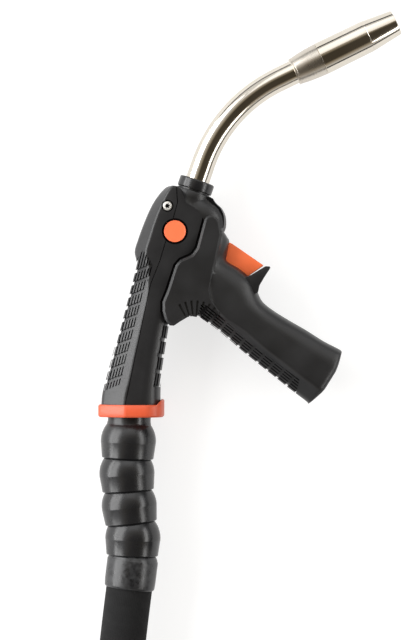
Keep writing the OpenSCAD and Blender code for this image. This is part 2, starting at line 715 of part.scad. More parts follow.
block_foot = collar_top + turned([0, -neck_foot - block_len], -neck_lean);
block_dir = turned([0, -1], -neck_lean);
module handle_cable() color(sleeve_black) placed() tube([
  [block_foot[0], block_foot[1], 0],
  [block_foot[0] + cable_d * block_dir[0], block_foot[1] + cable_d * block_dir[1], 0],
  for (at = cable_points) [at[0], at[1], 0],
  [head_at[0], tail_solid, 0], [head_at[0], head_at[1] + 11, 0]
], cable_d, 12);

// The ring has the handle's own section; each step is a height above its lower face and an inset
ring_steps = [[0, 1], [1.2, 0], [ring_h - 1.2, 0], [ring_h, 0.8]];
module ring_form(steps) skin([for (step = steps) crease_ring(
  [ring_x - ring_r, ring_bottom + step[0], ring_x + ring_r, ring_bottom + step[0], ring_r, 0.4],
  handle_side, -step[1])], 6 * len(handle_side));

module rear_ring() color(orange) placed() difference() {
  union() {
    ring_form(ring_steps);
    difference() {
      ring_form([[ring_h - 2, 0], [ring_h + ring_lip - 1, 0], [ring_h + ring_lip, 0.8]]);
      translate([ring_x + ring_r - 2.7 + slip_fit - 2 * big, -big, -big]) cube(2 * big);
    }
  }
  tail_socket();
  translate([head_at[0], head_at[1], 0]) rod(socket_mouth_d(), -30, 0);
}

// ---- Ball chain ----
// Part of a ball between two heights
module ball_zone(d, low, high) turned_piece() intersection() {
  circle(d = d);
  translate([0, low]) square([d, high - low]);
}

module ball_skirt() turned_piece() polygon([
  [0, -1.5], [ball_d / 2 - 0.1, -1.5], [skirt_d / 2, -skirt_drop + 0.6],
  [skirt_d / 2 - 0.5, -skirt_drop], [0, -skirt_drop]
]);

module ball_socket() {
  translate([0, -ball_pitch, 0]) ball_zone(ball_d + 2 * running_fit, -ball_d, ball_d);
  rod(ball_bore, -ball_d, 2 * ball_d);
}

module ball(at, tilt) color(black_satin) ball_frame(at, tilt) difference() {
  union() {
    ball_zone(ball_d, -8, ball_top);
    ball_skirt();
  }
  ball_socket();
}

module ball_1() color(black_satin) ball_frame(ball_1_at, ball_tilt[0]) difference() {
  union() {
    ball_zone(ball_d, -8, ball_top);
    ball_skirt();
    rod(stem_d, 5, stem_len - head_d * 0.2);
    translate([0, stem_len, 0]) ball_zone(head_d, -head_d * 0.35, head_d * 0.3);
  }
  ball_socket();
}

module ball_2() ball(ball_2_at, ball_tilt[1]);
module ball_3() ball(ball_3_at, ball_tilt[2]);
module ball_4() ball(ball_4_at, ball_tilt[3]);

module hose_cuff() color(black_satin) ball_frame(cuff_at, cuff_tilt) difference() {
  union() {
    ball_zone(ball_d, -4, ball_top);
    turned_piece() polygon([
      [0, 3], [cuff_d / 2, 3], [cuff_d / 2 - 0.6, -cuff_len + 3], [cuff_d / 2 - 1.4, -cuff_len + 0.8],
      [cuff_d / 2 - 2.2, -cuff_len], [0, -cuff_len]
    ]);
  }
  rod(ball_bore, -cuff_len + 3, ball_d);
}

// ---- Pistol grip ----
module saddle_slab() for (step = saddle_steps)
  translate([0, 0, -step[1]]) linear_extrude(2 * step[1]) offset(delta = -step[0]) polygon(saddle_outline);

module grip_bands() difference() {
  tread_bands(grip_tread_top, grip_tread_line, grip_tread_pitch, grip_tread_rows, 50, grip_tread_reach, grip_tread_gap);
  crease_loft(grip_sections, grip_side, -tread_depth, 1);
}

module grip_form() difference() {
  union() {
    saddle_slab();
    difference() {
      crease_loft(grip_sections, grip_side);
      grip_bands();
    }
    plate(nose_outline, trigger_slot / 2 + 2.4);
    plate(spur_outline, spur_half);
  }
  handle_loft(0.15, 2, 3, 11);
  plate(lead_channel, lead_channel_half);
  translate([rim_at[0], rim_at[1], 0]) rotate(rim_angle) plate(pocket_outline, trigger_slot / 2);
  translate([rim_at[0], rim_at[1], 0]) rotate(rim_angle)
    translate([trigger_pivot[0], trigger_pivot[1], -big / 2]) cylinder(d = trigger_pin_d + 2 * slip_fit, h = big);
}

module half_space(side) translate([-big, -big, side > 0 ? 0 : -2 * big]) cube([2 * big, 2 * big, 2 * big]);

module grip_near_half() color(black_tread) placed() difference() {
  intersection() {
    grip_form();
    half_space(1);
  }
  for (at = grip_screw_places) translate([at[0], at[1], -1])
    cylinder(d = grip_screw_d + 2 * slip_fit, h = grip_screw_len - grip_screw_head + 1.4);
}

module grip_far_half() color(black_tread) placed() difference() {
  intersection() {
    grip_form();
    half_space(-1);
  }
  for (at = grip_screw_places) translate([at[0], at[1], 0]) {
    translate([0, 0, -30]) cylinder(d = grip_screw_d + 2 * slip_fit, h = 31);
    translate([0, 0, -30]) cylinder(d = grip_screw_d + 3.4, h = 30 - grip_screw_head);
  }
}

module grip_screws() color(steel) placed() for (at = grip_screw_places) translate([at[0], at[1], 0])
  difference() {
    union() {
      translate([0, 0, -grip_screw_head]) cylinder(d = grip_screw_d, h = grip_screw_len);
      translate([0, 0, -grip_screw_head - 2]) cylinder(d = grip_screw_d + 2.8, h = 2);
    }
    translate([0, 0, -grip_screw_head - 3]) linear_extrude(2)
      for (a = [0, 60, 120]) rotate(a) square([2.8, 0.9], center = true);
  }

// ---- Trigger and switch ----
module trigger() color(orange) trigger_frame() difference() {
  translate([0, 0, -trigger_slot / 2 + trigger_play]) linear_extrude(trigger_slot - 2 * trigger_play)
    offset(r = 1) offset(delta = -1) polygon(trigger_outline);
  translate([trigger_pivot[0], trigger_pivot[1], -big / 2])
    cylinder(d = trigger_pin_d + 2 * running_fit, h = big);
}

module trigger_pin() color(steel) trigger_frame()
  translate([trigger_pivot[0], trigger_pivot[1], -trigger_slot / 2 - 2]) cylinder(d = trigger_pin_d, h = trigger_slot + 4);

spring_r = (spring_d - spring_wire) / 2;
spring_foot = pocket_floor + spring_wire / 2 + 0.1;
spring_top = trigger_back - spring_wire / 2 - 0.1;
function spring_point(t) = [
  spring_at + spring_r * cos(360 * t * spring_turns),
  spring_foot + (spring_top - spring_foot) * t,
  spring_r * sin(360 * t * spring_turns)
];
spring_steps = spring_turns * 8;
module trigger_spring() color(steel) trigger_frame()
  tube([for (i = [0:spring_steps]) spring_point(i / spring_steps)], spring_wire, 6, [0, 1, 0]);

module switch_body() color(black_satin) trigger_frame() difference() {
  translate([switch_at[0] - switch_size[0] / 2, pocket_floor, -switch_size[2] / 2])
    cube([switch_size[0], switch_size[1], switch_size[2]]);
  translate([switch_at[0], 0, 0]) rod(plunger_d + 2 * running_fit, pocket_floor + 1.2, 0);
}

module switch_plunger() color(ivory) trigger_frame() translate([switch_at[0], 0, 0])
  rod(plunger_d, trigger_back - air - plunger_len, trigger_back - air);

module switch_leads() color(orange) placed() for (side = [-1, 1]) tube([
  rim_point([10, pocket_floor - 0.1], side * 2), rim_point([10, pocket_floor - 3], side * 2),
  [64, 90.5, side * 2], [54, 92, side * 2], [44, 96.5, side * 2], [35, 97.5, side * 2]
], 1.6, 8);

function rim_point(p, z) = let (q = rim_at + turned(p, rim_angle)) [q[0], q[1], z];

// ---- Hose, coil and strap ----
module hose_run() color(sleeve_black) placed() tube(run_path, hose_d, 12);

module hose_coil() color(sleeve_black) placed() tube(coil_path, hose_d, coil_sides);

strap_strands = [for (t = [-1.5, -0.5, 0.5]) [coil_radius(t), coil_point(t)[2]]];
module strap_shape(grow) hull() for (s = strap_strands) translate(s) circle(d = hose_d + 2 * grow);
module coil_strap() color(orange) placed() translate([coil_at[0] + strap_w / 2, coil_at[1], 0])
  rotate([90, 0, -90]) linear_extrude(strap_w) difference() {
    strap_shape(strap_air + strap_t);
    strap_shape(strap_air);
  }

// ---- Connector ----
boot_rings = 7;
module connector_boot() color(black_satin) plug_frame() turned_piece() difference() {
  polygon([
    [0, 0], [hose_d / 2 + 1, 0], [hose_d / 2 + 1, boot_len * 0.6], [plug_shell_d / 2 - 0.5, boot_len * 0.75],
    [plug_shell_d / 2 - 0.5, boot_len], [0, boot_len]
  ]);
  for (i = [0:boot_rings - 1]) translate([hose_d / 2 - 1, 6 + i * 6.4]) square([4, 2.6]);
}

module connector_shell() color(black_satin) plug_frame() difference() {
  translate([0, boot_len, 0]) turned_piece() difference() {
    union() {
      square([plug_shell_d / 2, plug_shell_len - 1]);
      square([insert_d / 2 + 3, plug_shell_len]);
    }
    translate([0, plug_shell_len - 12]) square([insert_d / 2 + slip_fit, 20]);
  }
  for (a = [0:30:330]) rotate([0, a, 0]) translate([0, boot_len + 5, plug_shell_d / 2 + 1]) rod(4, 0, plug_shell_len - 10);
}

module connector_insert() color(black_tread) plug_frame() difference() {
  union() {
    rod(insert_d, nut_at - 11.5, insert_face);
    rod(insert_d + 5.6, nut_at + nut_lip + 2 * air, nut_at + nut_lip + 3);
  }
  rod(plug_pin_d + 2 * slip_fit, nut_at - 8, insert_face + 1);
  for (side = [-1, 1]) translate([0, 0, side * 10.5])
    rod(control_pin_d + 2 * running_fit, insert_face - 16, insert_face + 1);
}

module gas_wire_pin() color(brass) plug_frame() turned_piece() difference() {
  translate([0, nut_at - 7.5]) polygon([
    [0, 0], [plug_pin_d / 2, 0], [plug_pin_d / 2, insert_len + 7.5 + plug_pin_len - 1],
    [plug_pin_d / 2 - 1, insert_len + 7.5 + plug_pin_len], [0, insert_len + 7.5 + plug_pin_len]
  ]);
  translate([0, nut_at - 9]) square([liner_bore / 2 + 0.4, insert_len + plug_pin_len + 12]);
  for (at = o_ring_places) translate([plug_pin_d / 2 - 1, insert_face + at - 1.1]) square([2, 2.2]);
}

o_ring_places = [5, 9.5];
module pin_o_rings() color(black_tread) plug_frame() turned_piece()
  for (at = o_ring_places) translate([plug_pin_d / 2 + 0.1, insert_face + at]) circle(d = 2);

nut_lobes = 8;
module union_nut() color(black_satin) plug_frame() difference() {
  intersection() {
    translate([0, nut_at + 0.3, 0]) turned_piece() difference() {
      polygon([
        [0, 0], [nut_d / 2 - 2, 0], [nut_d / 2, 2], [nut_d / 2, nut_len - 2], [nut_d / 2 - 2, nut_len], [0, nut_len]
      ]);
      translate([0, -1]) square([insert_d / 2 + running_fit, nut_len + 2]);
      translate([0, nut_lip]) square([insert_d / 2 + 3.2, nut_len]);
    }
    rod(nut_d, nut_at, nut_at + nut_len + 1);
  }
  for (i = [0:nut_lobes - 1]) rotate([0, (i + 0.5) * 360 / nut_lobes, 0])
    translate([0, 0, nut_d / 2 + 3]) rod(10, nut_at + 3, nut_at + nut_len + 1);
}

module control_pin(side) color(brass) plug_frame() translate([0, 0, side * 10.5])
  rod(control_pin_d, insert_face - 10, insert_face + 6);
module control_pin_left() control_pin(-1);
module control_pin_right() control_pin(1);

gas_nozzle();
nozzle_holder();
contact_tip();
tip_adapter();
gas_diffuser();
neck_tube();
neck_insulator();
neck_conductor();
wire_liner();
neck_collar();
rear_cover();
front_shell();
badge_disc();
cover_screw();
power_block();
handle_cable();
rear_ring();
ball_1();
ball_2();
ball_3();
ball_4();
hose_cuff();
grip_near_half();
grip_far_half();
grip_screws();
trigger();
trigger_pin();
trigger_spring();
switch_body();
switch_plunger();
switch_leads();
hose_run();
hose_coil();
coil_strap();
connector_boot();
connector_shell();
connector_insert();
gas_wire_pin();
pin_o_rings();
union_nut();
control_pin_left();
control_pin_right();
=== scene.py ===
# %% [markdown]
# # A gas welding torch, with its finish and its light
#
# The torch is a chain of real pieces: a nickel nozzle on a swan neck, a two-shell handle with a
# pistol grip and a trigger, a guard of four ball joints, and a hose in a woven sleeve. The solids
# come in as a fixed frame. This notebook gives each one its finish, and replaces the ones whose
# surface needs more than a plain solid can show.

# %% Load the frame
import json
import math
import bmesh
import bpy
from mathutils import Matrix, Vector
from mathutils.bvhtree import BVHTree

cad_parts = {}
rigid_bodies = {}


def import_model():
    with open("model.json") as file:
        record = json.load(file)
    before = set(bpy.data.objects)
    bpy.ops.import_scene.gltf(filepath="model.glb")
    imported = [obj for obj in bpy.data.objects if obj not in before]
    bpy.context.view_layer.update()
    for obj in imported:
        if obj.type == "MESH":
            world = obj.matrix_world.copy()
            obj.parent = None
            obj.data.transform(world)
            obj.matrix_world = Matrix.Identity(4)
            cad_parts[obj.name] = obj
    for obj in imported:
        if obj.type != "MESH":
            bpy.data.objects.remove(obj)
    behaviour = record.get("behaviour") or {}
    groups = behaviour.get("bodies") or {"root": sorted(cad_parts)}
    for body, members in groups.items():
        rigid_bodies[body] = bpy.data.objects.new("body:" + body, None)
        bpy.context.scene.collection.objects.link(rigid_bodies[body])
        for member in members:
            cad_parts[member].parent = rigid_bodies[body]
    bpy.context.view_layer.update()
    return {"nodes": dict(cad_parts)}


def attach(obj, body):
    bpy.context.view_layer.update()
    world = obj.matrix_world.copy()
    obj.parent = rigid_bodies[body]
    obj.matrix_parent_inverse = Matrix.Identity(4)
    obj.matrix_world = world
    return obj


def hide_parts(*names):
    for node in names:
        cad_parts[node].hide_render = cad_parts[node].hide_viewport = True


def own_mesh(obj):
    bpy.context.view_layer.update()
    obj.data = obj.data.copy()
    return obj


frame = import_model()
MM = 0.001

# %% [markdown]
# ## Where things are
#
# The torch was drawn in millimetres from the middle of the handle's rear end. `at` turns such a
# point into the scene's metres, so every number below can be read as a size on the real torch.
# Angles are turned the way a protractor shows them, anticlockwise from above.

# %% Places on the torch
ORIGIN_X, ORIGIN_Y, MID_Z = 92.3604, 84.6942, 25.0


def at(x, y, z=0.0):
    """A place on the torch, given in millimetres, as a scene point in metres."""
    return Vector(((x - ORIGIN_X) * MM, (y - ORIGIN_Y) * MM, (z + MID_Z) * MM))


def turned(x, y, degrees):
    """A direction in the torch's plane, turned by an angle."""
    c, s = math.cos(math.radians(degrees)), math.sin(math.radians(degrees))
    return x * c - y * s, x * s + y * c


def stand(x, y, degrees, z=0.0):
    """The frame of a sub-assembly: its own Y axis runs along the piece."""
    return Matrix.Translation(at(x, y, z)) @ Matrix.Rotation(math.radians(degrees), 4, "Z")


COLLAR_TOP, NECK_LEAN, NECK_BEND, NECK_BEND_R = (52.5, 176.5), 19.0, 45.0, 112.0
NECK_ROOT, NECK_TIP = 12.7, 13.9
bend_x = NECK_BEND_R * (1 - math.cos(math.radians(NECK_BEND))) + NECK_TIP * math.sin(math.radians(NECK_BEND))
bend_y = (NECK_ROOT + NECK_BEND_R * math.sin(math.radians(NECK_BEND))
          + NECK_TIP * math.cos(math.radians(NECK_BEND)))
tip_x, tip_y = turned(bend_x, bend_y, -NECK_LEAN)
neck_stand = stand(*COLLAR_TOP, -NECK_LEAN)
nozzle_stand = stand(COLLAR_TOP[0] + tip_x, COLLAR_TOP[1] + tip_y, -NECK_LEAN - NECK_BEND)
rim_stand = stand(74.1, 115.1, -31.1)
FLAT = stand(0, 0, 0)
UPWARDS = Matrix.Rotation(math.pi / 2, 4, "X")
FAR = 60  # beyond either side of any piece, in millimetres
print("nozzle starts at", nozzle_stand.translation)

# %% [markdown]
# ## Camera
#
# The torch is looked at from straight above the bench it lies on, from far away, so that nothing
# is drawn larger for being nearer. A long lens does that: the camera stands about two and a half
# metres off and sees a field just under half a metre tall. The hose leaves that field at the
# bottom edge, and the rest of it lies coiled just outside.

# %% Set the camera
VIEW_X, VIEW_Y, VIEW_TALL = -0.03308, -0.01439, 0.4864


def add_object(name, data):
    """A new object that shows some data, put into the scene."""
    item = bpy.data.objects.new(name, data)
    bpy.context.collection.objects.link(item)
    return item


camera_data = bpy.data.cameras.new("camera")
camera_data.sensor_width = 36.0
camera_data.lens = 180.0
camera_data.clip_end = 20.0
camera = add_object("camera", camera_data)
camera.location = (VIEW_X, VIEW_Y, MID_Z * MM + VIEW_TALL * camera_data.lens / camera_data.sensor_width)
bpy.context.scene.camera = camera
print("camera stands", round(camera.location.z, 3), "m above the bench")

# %% [markdown]
# ## A few hand tools
#
# Blender's operators work on whatever is selected, so each tool starts by selecting exactly one
# thing. A finished piece is put in its place and then has that place applied, so that its mesh
# sits where the frame's own solids sit and its origin stays at the scene's zero.

# %% Tools for picking up and putting down
def pick(piece):
    """Selects a piece alone and makes it the active one."""
    if bpy.context.object and bpy.context.object.mode != "OBJECT":
        bpy.ops.object.mode_set(mode="OBJECT")
    bpy.ops.object.select_all(action="DESELECT")
    piece.select_set(True)
    bpy.context.view_layer.objects.active = piece
    return piece


def start(name):
    """A new piece with an empty mesh that is open for editing."""
    piece = pick(add_object(name, bpy.data.meshes.new(name)))
    bpy.ops.object.mode_set(mode="EDIT")
    return piece


def put_down(piece, place=None):
    """Ends editing, moves the piece from its own frame to its place and applies that place."""
    pick(piece)
    if place is not None:
        piece.matrix_world = place
    bpy.ops.object.transform_apply(location=True, rotation=True, scale=True)
    return piece


def apply_modifier(piece, kind, **settings):
    """Adds one modifier with its settings and applies it."""
    pick(piece)
    modifier = piece.modifiers.new(kind.lower(), kind)
    for key, value in settings.items():
        setattr(modifier, key, value)
    bpy.ops.object.modifier_apply(modifier=modifier.name)
    return piece


def cut(piece, cutter, operation="DIFFERENCE", shade=None):
    """Cuts one closed piece with another, then throws the cutter away.

    The new faces take the cutter's material: the piece's own one, or a painted shade."""
    if piece.data.materials:
        cutter.data.materials.clear()
        cutter.data.materials.append(shade or piece.data.materials[0])
    apply_modifier(piece, "BOOLEAN", object=cutter, operation=operation, solver="MANIFOLD",
                   material_mode="TRANSFER")
    bpy.data.objects.remove(cutter)
    return piece


def soften(piece, width, angle=35, segments=2):
    """Rounds the sharp edges a little, as a mould does, and shades the rest smooth."""
    if width:
        apply_modifier(piece, "BEVEL", width=width * MM, segments=segments, limit_method="ANGLE",
                       angle_limit=math.radians(angle), use_clamp_overlap=True)
    pick(piece)
    bpy.ops.object.shade_smooth_by_angle(angle=math.radians(angle))
    return piece


def face_outwards(piece):
    """Merges doubled points, drops loose ones and turns every face outwards."""
    pick(piece)
    bpy.ops.object.mode_set(mode="EDIT")
    bpy.ops.mesh.select_all(action="SELECT")
    bpy.ops.mesh.remove_doubles(threshold=1e-6)
    bpy.ops.mesh.delete_loose(use_verts=True, use_edges=True, use_faces=False)
    bpy.ops.mesh.select_all(action="SELECT")
    bpy.ops.mesh.normals_make_consistent(inside=False)
    bpy.ops.object.mode_set(mode="OBJECT")
    return piece


print("tools ready")

# %% [markdown]
# ## The lathe, the loft and the sweep
#
# Three ways of making a form cover nearly the whole torch. A turned piece is a profile spun round
# an axis. A moulded shell is a loft: a ring of points that is extruded again and again, each copy
# moved to the next cross-section. A hose or a bent tube is a curve with thickness, made a mesh.

# %% Tools for turned, lofted and swept forms
def turn_on_lathe(name, profile, place, steps=96):
    """A closed profile of (radius, height) points in millimetres, spun round the local Y axis."""
    piece = start(name)
    bpy.ops.mesh.primitive_plane_add(size=MM, location=(profile[0][0] * MM, profile[0][1] * MM, 0))
    bpy.ops.mesh.merge(type="CENTER")
    for (r0, h0), (r1, h1) in zip(profile, [*profile[1:], profile[0]]):
        bpy.ops.mesh.extrude_region_move(
            TRANSFORM_OT_translate={"value": ((r1 - r0) * MM, (h1 - h0) * MM, 0)})
    bpy.ops.mesh.select_all(action="SELECT")
    bpy.ops.mesh.spin(steps=steps, angle=2 * math.pi, center=(0, 0, 0), axis=(0, 1, 0))
    return put_down(face_outwards(piece), place)


def loft(name, rings):
    """Rings of equally many points: a circle moved to the first, then extruded to each other one."""
    piece = start(name)
    bpy.ops.mesh.primitive_circle_add(vertices=len(rings[0]), radius=0.01)
    shape = bmesh.from_edit_mesh(piece.data)
    for vertex, point in zip(shape.verts, rings[0]):
        vertex.co = point
    bpy.ops.mesh.edge_face_add()
    bpy.ops.mesh.select_mode(type="EDGE")
    for here, there in zip(rings, rings[1:]):
        bpy.ops.mesh.extrude_edges_move()
        shape = bmesh.from_edit_mesh(piece.data)
        for vertex in [v for v in shape.verts if v.select]:
            nearest = min(range(len(here)), key=lambda i: (vertex.co - here[i]).length_squared)
            vertex.co = there[nearest]
        bmesh.update_edit_mesh(piece.data)
    bpy.ops.mesh.edge_face_add()
    bpy.ops.mesh.select_mode(type="VERT")
    return put_down(face_outwards(piece))


def slab(name, outline, low, high, place):
    """A flat outline in millimetres, filled and extruded from one height to another."""
    piece = start(name)
    bpy.ops.mesh.primitive_circle_add(vertices=len(outline), radius=0.01)
    shape = bmesh.from_edit_mesh(piece.data)
    for vertex, (x, y) in zip(shape.verts, outline):
        vertex.co = (x * MM, y * MM, low * MM)
    bpy.ops.mesh.edge_face_add()
    bpy.ops.mesh.extrude_region_move(TRANSFORM_OT_translate={"value": (0, 0, (high - low) * MM)})
    return put_down(face_outwards(piece), place)


def sweep(name, points, radius, sides=32):
    """A round bar or hose along a line of scene points, with closed ends."""
    line = bpy.data.curves.new(name, "CURVE")
    line.dimensions, line.bevel_depth, line.bevel_resolution = "3D", radius, (sides - 4) // 2
    line.use_fill_caps = True
    spline = line.splines.new("POLY")
    spline.points.add(len(points) - 1)
    for dot, point in zip(spline.points, points):
        dot.co = (*point, 1.0)
    piece = pick(add_object(name, line))
    bpy.ops.object.convert(target="MESH")
    return piece


print("forms ready")

# %% [markdown]
# ## Finishes
#
# Moulded plastic is never one flat colour: the tool's surface leaves a fine grain, and handling
# polishes it unevenly. `moulded` mixes two close colours and two roughnesses by soft noise, and
# raises a grain of a few hundredths of a millimetre. `plated` does the same for metal, with a grain
# so low that it only breaks up the reflections a little. Every pattern is tied to the piece's own
# coordinates in metres, so that a scale of 1000 means about one feature per millimetre.

# %% Finish tools
def blank_finish(name):
    """A new material with its shader and its coordinates."""
    material = bpy.data.materials.new(name)
    material.use_nodes = True
    nodes, links = material.node_tree.nodes, material.node_tree.links
    return material, nodes, links, nodes["Principled BSDF"], nodes.new("ShaderNodeTexCoord")


def add_node(nodes, kind, **values):
    """A new shader node with some inputs set, named with _ for each space."""
    node = nodes.new("ShaderNode" + kind)
    for socket, value in values.items():
        node.inputs[socket.replace("_", " ")].default_value = value
    return node


def noise_of(nodes, links, where, scale, detail=3.0):
    """Soft noise with so many features to the metre."""
    noise = add_node(nodes, "TexNoise", Scale=scale, Detail=detail)
    links.new(where, noise.inputs["Vector"])
    return noise.outputs["Fac"]


def ramp_of(nodes, links, amount, *stops):
    """Colours blended along an amount; a stop is a position and a colour, the ends come first."""
    ramp = nodes.new("ShaderNodeValToRGB")
    colours = ramp.color_ramp.elements
    for k, (position, colour) in enumerate(stops):
        stop = colours[k] if k < 2 else colours.new(position)
        stop.position, stop.color = position, (*colour, 1)
    links.new(amount, ramp.inputs["Fac"])
    return ramp.outputs["Color"]


def range_of(nodes, links, amount, low, high):
    """An amount stretched to run from one number to another over the middle of its range."""
    span = add_node(nodes, "MapRange", From_Min=0.3, From_Max=0.7, To_Min=low, To_Max=high)
    links.new(amount, span.inputs["Value"])
    return span.outputs["Result"]


def raise_by(nodes, links, shader, height, depth, strength=1.0):
    """Relief of a depth in metres on the shader's surface."""
    bump = add_node(nodes, "Bump", Strength=strength, Distance=depth)
    links.new(height, bump.inputs["Height"])
    links.new(bump.outputs["Normal"], shader.inputs["Normal"])


def moulded(name, low, high, rough, grain=1400.0, depth=0.00004, patches=45.0, detail=2.0):
    """Moulded plastic or rubber: two close colours, two roughnesses and a fine grain."""
    material, nodes, links, shader, where = blank_finish(name)
    wide = noise_of(nodes, links, where.outputs["Object"], patches)
    links.new(ramp_of(nodes, links, wide, (0.3, low), (0.7, high)), shader.inputs["Base Color"])
    links.new(range_of(nodes, links, wide, *rough), shader.inputs["Roughness"])
    raise_by(nodes, links, shader, noise_of(nodes, links, where.outputs["Object"], grain, detail), depth)
    return material


def plated(name, low, high, rough):
    """Plated or turned metal: polish that varies, under a very low grain."""
    material = moulded(name, low, high, rough, grain=900.0, depth=0.000004, patches=30.0, detail=4.0)
    material.node_tree.nodes["Principled BSDF"].inputs["Metallic"].default_value = 1.0
    return material


def dress(piece, material):
    """Gives a piece one material all over."""
    piece.data.materials.clear()
    piece.data.materials.append(material)
    return piece


print("finish tools ready")

# %% [markdown]
# The shells and the grip are satin black, the joints are polished by turning in each other, and
# the orange pieces are dyed right through. The metals are nickel on the outside, brass and copper
# where the current runs. Grooves, seams and seats get painted shade: a near black with hardly any
# shine, which stands for the shadow that falls inside them.

# %% Mix the finishes
shell_black = moulded("shell_black", (0.010, 0.010, 0.011), (0.014, 0.014, 0.015), (0.33, 0.40))
grip_black = moulded("grip_black", (0.0085, 0.0085, 0.009), (0.012, 0.012, 0.013), (0.36, 0.44))
# Painted shade: a near black for the faces inside grooves, seams and seats, where shadow falls
painted_groove_shade = moulded("painted_groove_shade", (0.0015, 0.0015, 0.0016), (0.003, 0.003, 0.0032), (0.75, 0.9))
painted_groove_shade.node_tree.nodes["Principled BSDF"].inputs["Specular IOR Level"].default_value = 0.12
joint_black = moulded("joint_black", (0.010, 0.010, 0.011), (0.014, 0.014, 0.015), (0.22, 0.32),
                      grain=700.0, depth=0.00003)
plug_black = moulded("plug_black", (0.014, 0.014, 0.015), (0.02, 0.02, 0.021), (0.35, 0.45))
rubber_black = moulded("rubber_black", (0.010, 0.010, 0.010), (0.016, 0.016, 0.016), (0.55, 0.68))
orange_dyed = moulded("orange_dyed", (0.97, 0.18, 0.056), (1.0, 0.195, 0.064), (0.36, 0.44), depth=0.00002)
orange_ring = moulded("orange_ring", (0.60, 0.082, 0.028), (0.68, 0.097, 0.034), (0.34, 0.42), depth=0.00002)
cuff_scuffed = moulded("cuff_scuffed", (0.010, 0.010, 0.011), (0.034, 0.035, 0.037), (0.24, 0.42),
                       grain=500.0, patches=260.0)
orange_disc = moulded("orange_disc", (0.88, 0.158, 0.056), (0.93, 0.175, 0.064), (0.42, 0.5), depth=0.00001)
nickel_polished = plated("nickel_polished", (0.66, 0.615, 0.535), (0.72, 0.67, 0.59), (0.09, 0.15))
nickel_satin = plated("nickel_satin", (0.58, 0.535, 0.47), (0.64, 0.595, 0.525), (0.24, 0.34))
steel_bright = plated("steel_bright", (0.62, 0.61, 0.58), (0.72, 0.71, 0.68), (0.2, 0.3))
screw_zinc = plated("screw_zinc", (0.80, 0.79, 0.75), (0.9, 0.89, 0.86), (0.5, 0.62))
brass_turned = plated("brass_turned", (0.70, 0.50, 0.22), (0.78, 0.57, 0.27), (0.2, 0.32))
copper_drawn = plated("copper_drawn", (0.68, 0.30, 0.18), (0.76, 0.36, 0.22), (0.22, 0.36))
insulator_ivory = moulded("insulator_ivory", (0.68, 0.64, 0.54), (0.74, 0.70, 0.60), (0.4, 0.5))
print("mixed", len(bpy.data.materials), "finishes")

# %% [markdown]
# The hose runs in a knitted textile sleeve. Its threads cross at 45 degrees, about two millimetres
# apart. The pattern follows the sleeve's own unrolled surface, so the threads run with the hose
# round every turn of the coil. The strap is a flat webbing with ribs across it and a finer thread
# along it. Both are two waves laid over each other, in the colour and in the relief.

# %% Knit the sleeve's finish
HOSE_D, HOSE_LONG = 35.0, 2.919


def crossed(nodes, links, operation, waves):
    """Two sets of threads laid over each other: where, the bands' direction, scale and distortion."""
    cross = nodes.new("ShaderNodeMath")
    cross.operation = operation
    for slot, (where, direction, scale, distortion) in zip(cross.inputs, waves):
        wave = add_node(nodes, "TexWave", Scale=scale, Distortion=distortion)
        wave.bands_direction = direction
        links.new(where, wave.inputs["Vector"])
        links.new(wave.outputs["Fac"], slot)
    return cross.outputs["Value"]


def mapped(nodes, links, where, **values):
    """Coordinates that are scaled or turned."""
    mapping = add_node(nodes, "Mapping", **values)
    links.new(where, mapping.inputs["Vector"])
    return mapping.outputs["Vector"]


def knitted(name, long, round_about):
    """Crossing threads on a tube that is unrolled from 0 to 1 both ways."""
    material, nodes, links, shader, where = blank_finish(name)
    unrolled = mapped(nodes, links, where.outputs["UV"], Scale=(long, round_about, 1.0))
    cross = crossed(nodes, links, "MAXIMUM", [
        (mapped(nodes, links, unrolled, Rotation=(0, 0, math.radians(lean))), "X", 160.0, 0.6)
        for lean in (45, -45)])
    colour = ramp_of(nodes, links, cross, (0.3, (0.0025, 0.0025, 0.0027)), (0.7, (0.013, 0.013, 0.0135)))
    links.new(colour, shader.inputs["Base Color"])
    wide = noise_of(nodes, links, unrolled, 60.0)
    links.new(range_of(nodes, links, wide, 0.78, 0.92), shader.inputs["Roughness"])
    shader.inputs["Specular IOR Level"].default_value = 0.2
    shader.inputs["Sheen Weight"].default_value = 0.04
    shader.inputs["Sheen Roughness"].default_value = 0.5
    raise_by(nodes, links, shader, cross, 0.00025, 0.7)
    return material


def woven(name, low, high, threads=220.0):
    """A flat webbing: ribs across it and a finer thread along it, on the piece's own coordinates."""
    material, nodes, links, shader, where = blank_finish(name)
    cross = crossed(nodes, links, "ADD", [
        (where.outputs["Object"], direction, scale, 0.4)
        for direction, scale in (("X", threads), ("Z", threads * 1.6))])
    links.new(ramp_of(nodes, links, cross, (0.3, low), (0.7, high)), shader.inputs["Base Color"])
    shader.inputs["Roughness"].default_value = 0.8
    raise_by(nodes, links, shader, cross, 0.0002, 0.6)
    return material


sleeve_knit = knitted("sleeve_knit", HOSE_LONG, HOSE_D * math.pi * MM)
strap_woven = woven("strap_woven", (0.55, 0.07, 0.02), (0.85, 0.12, 0.035))
print("sleeve:", round(HOSE_D * math.pi), "mm round,", HOSE_LONG, "m long")

# %% [markdown]
# ## The hose
#
# The hose carries the wire, the gas and the current, so it is thick and stiff: it leaves the cuff
# straight, drops to the bench and turns nowhere tighter than about four times its own thickness.
# Three metres with the connector is the usual length. What lies outside the camera's field is wound
# into a coil on the bench, spiralling in and then out again one layer up, with the connector on top.
#
# A cord is made from its line: the points of the route first, then a smooth curve through them,
# then the thickness. The tube itself stays smooth, and its finish carries the threads.

# %% Lay out the route
COIL_X, COIL_Y, COIL_INNER, COIL_PITCH, COIL_LAYER, STRAND_Z = 189.4609, -380.0, 143.0, 36.5, 36.0, -5.0
TURNS_IN, TURNS_OUT = 1.75, 0.75


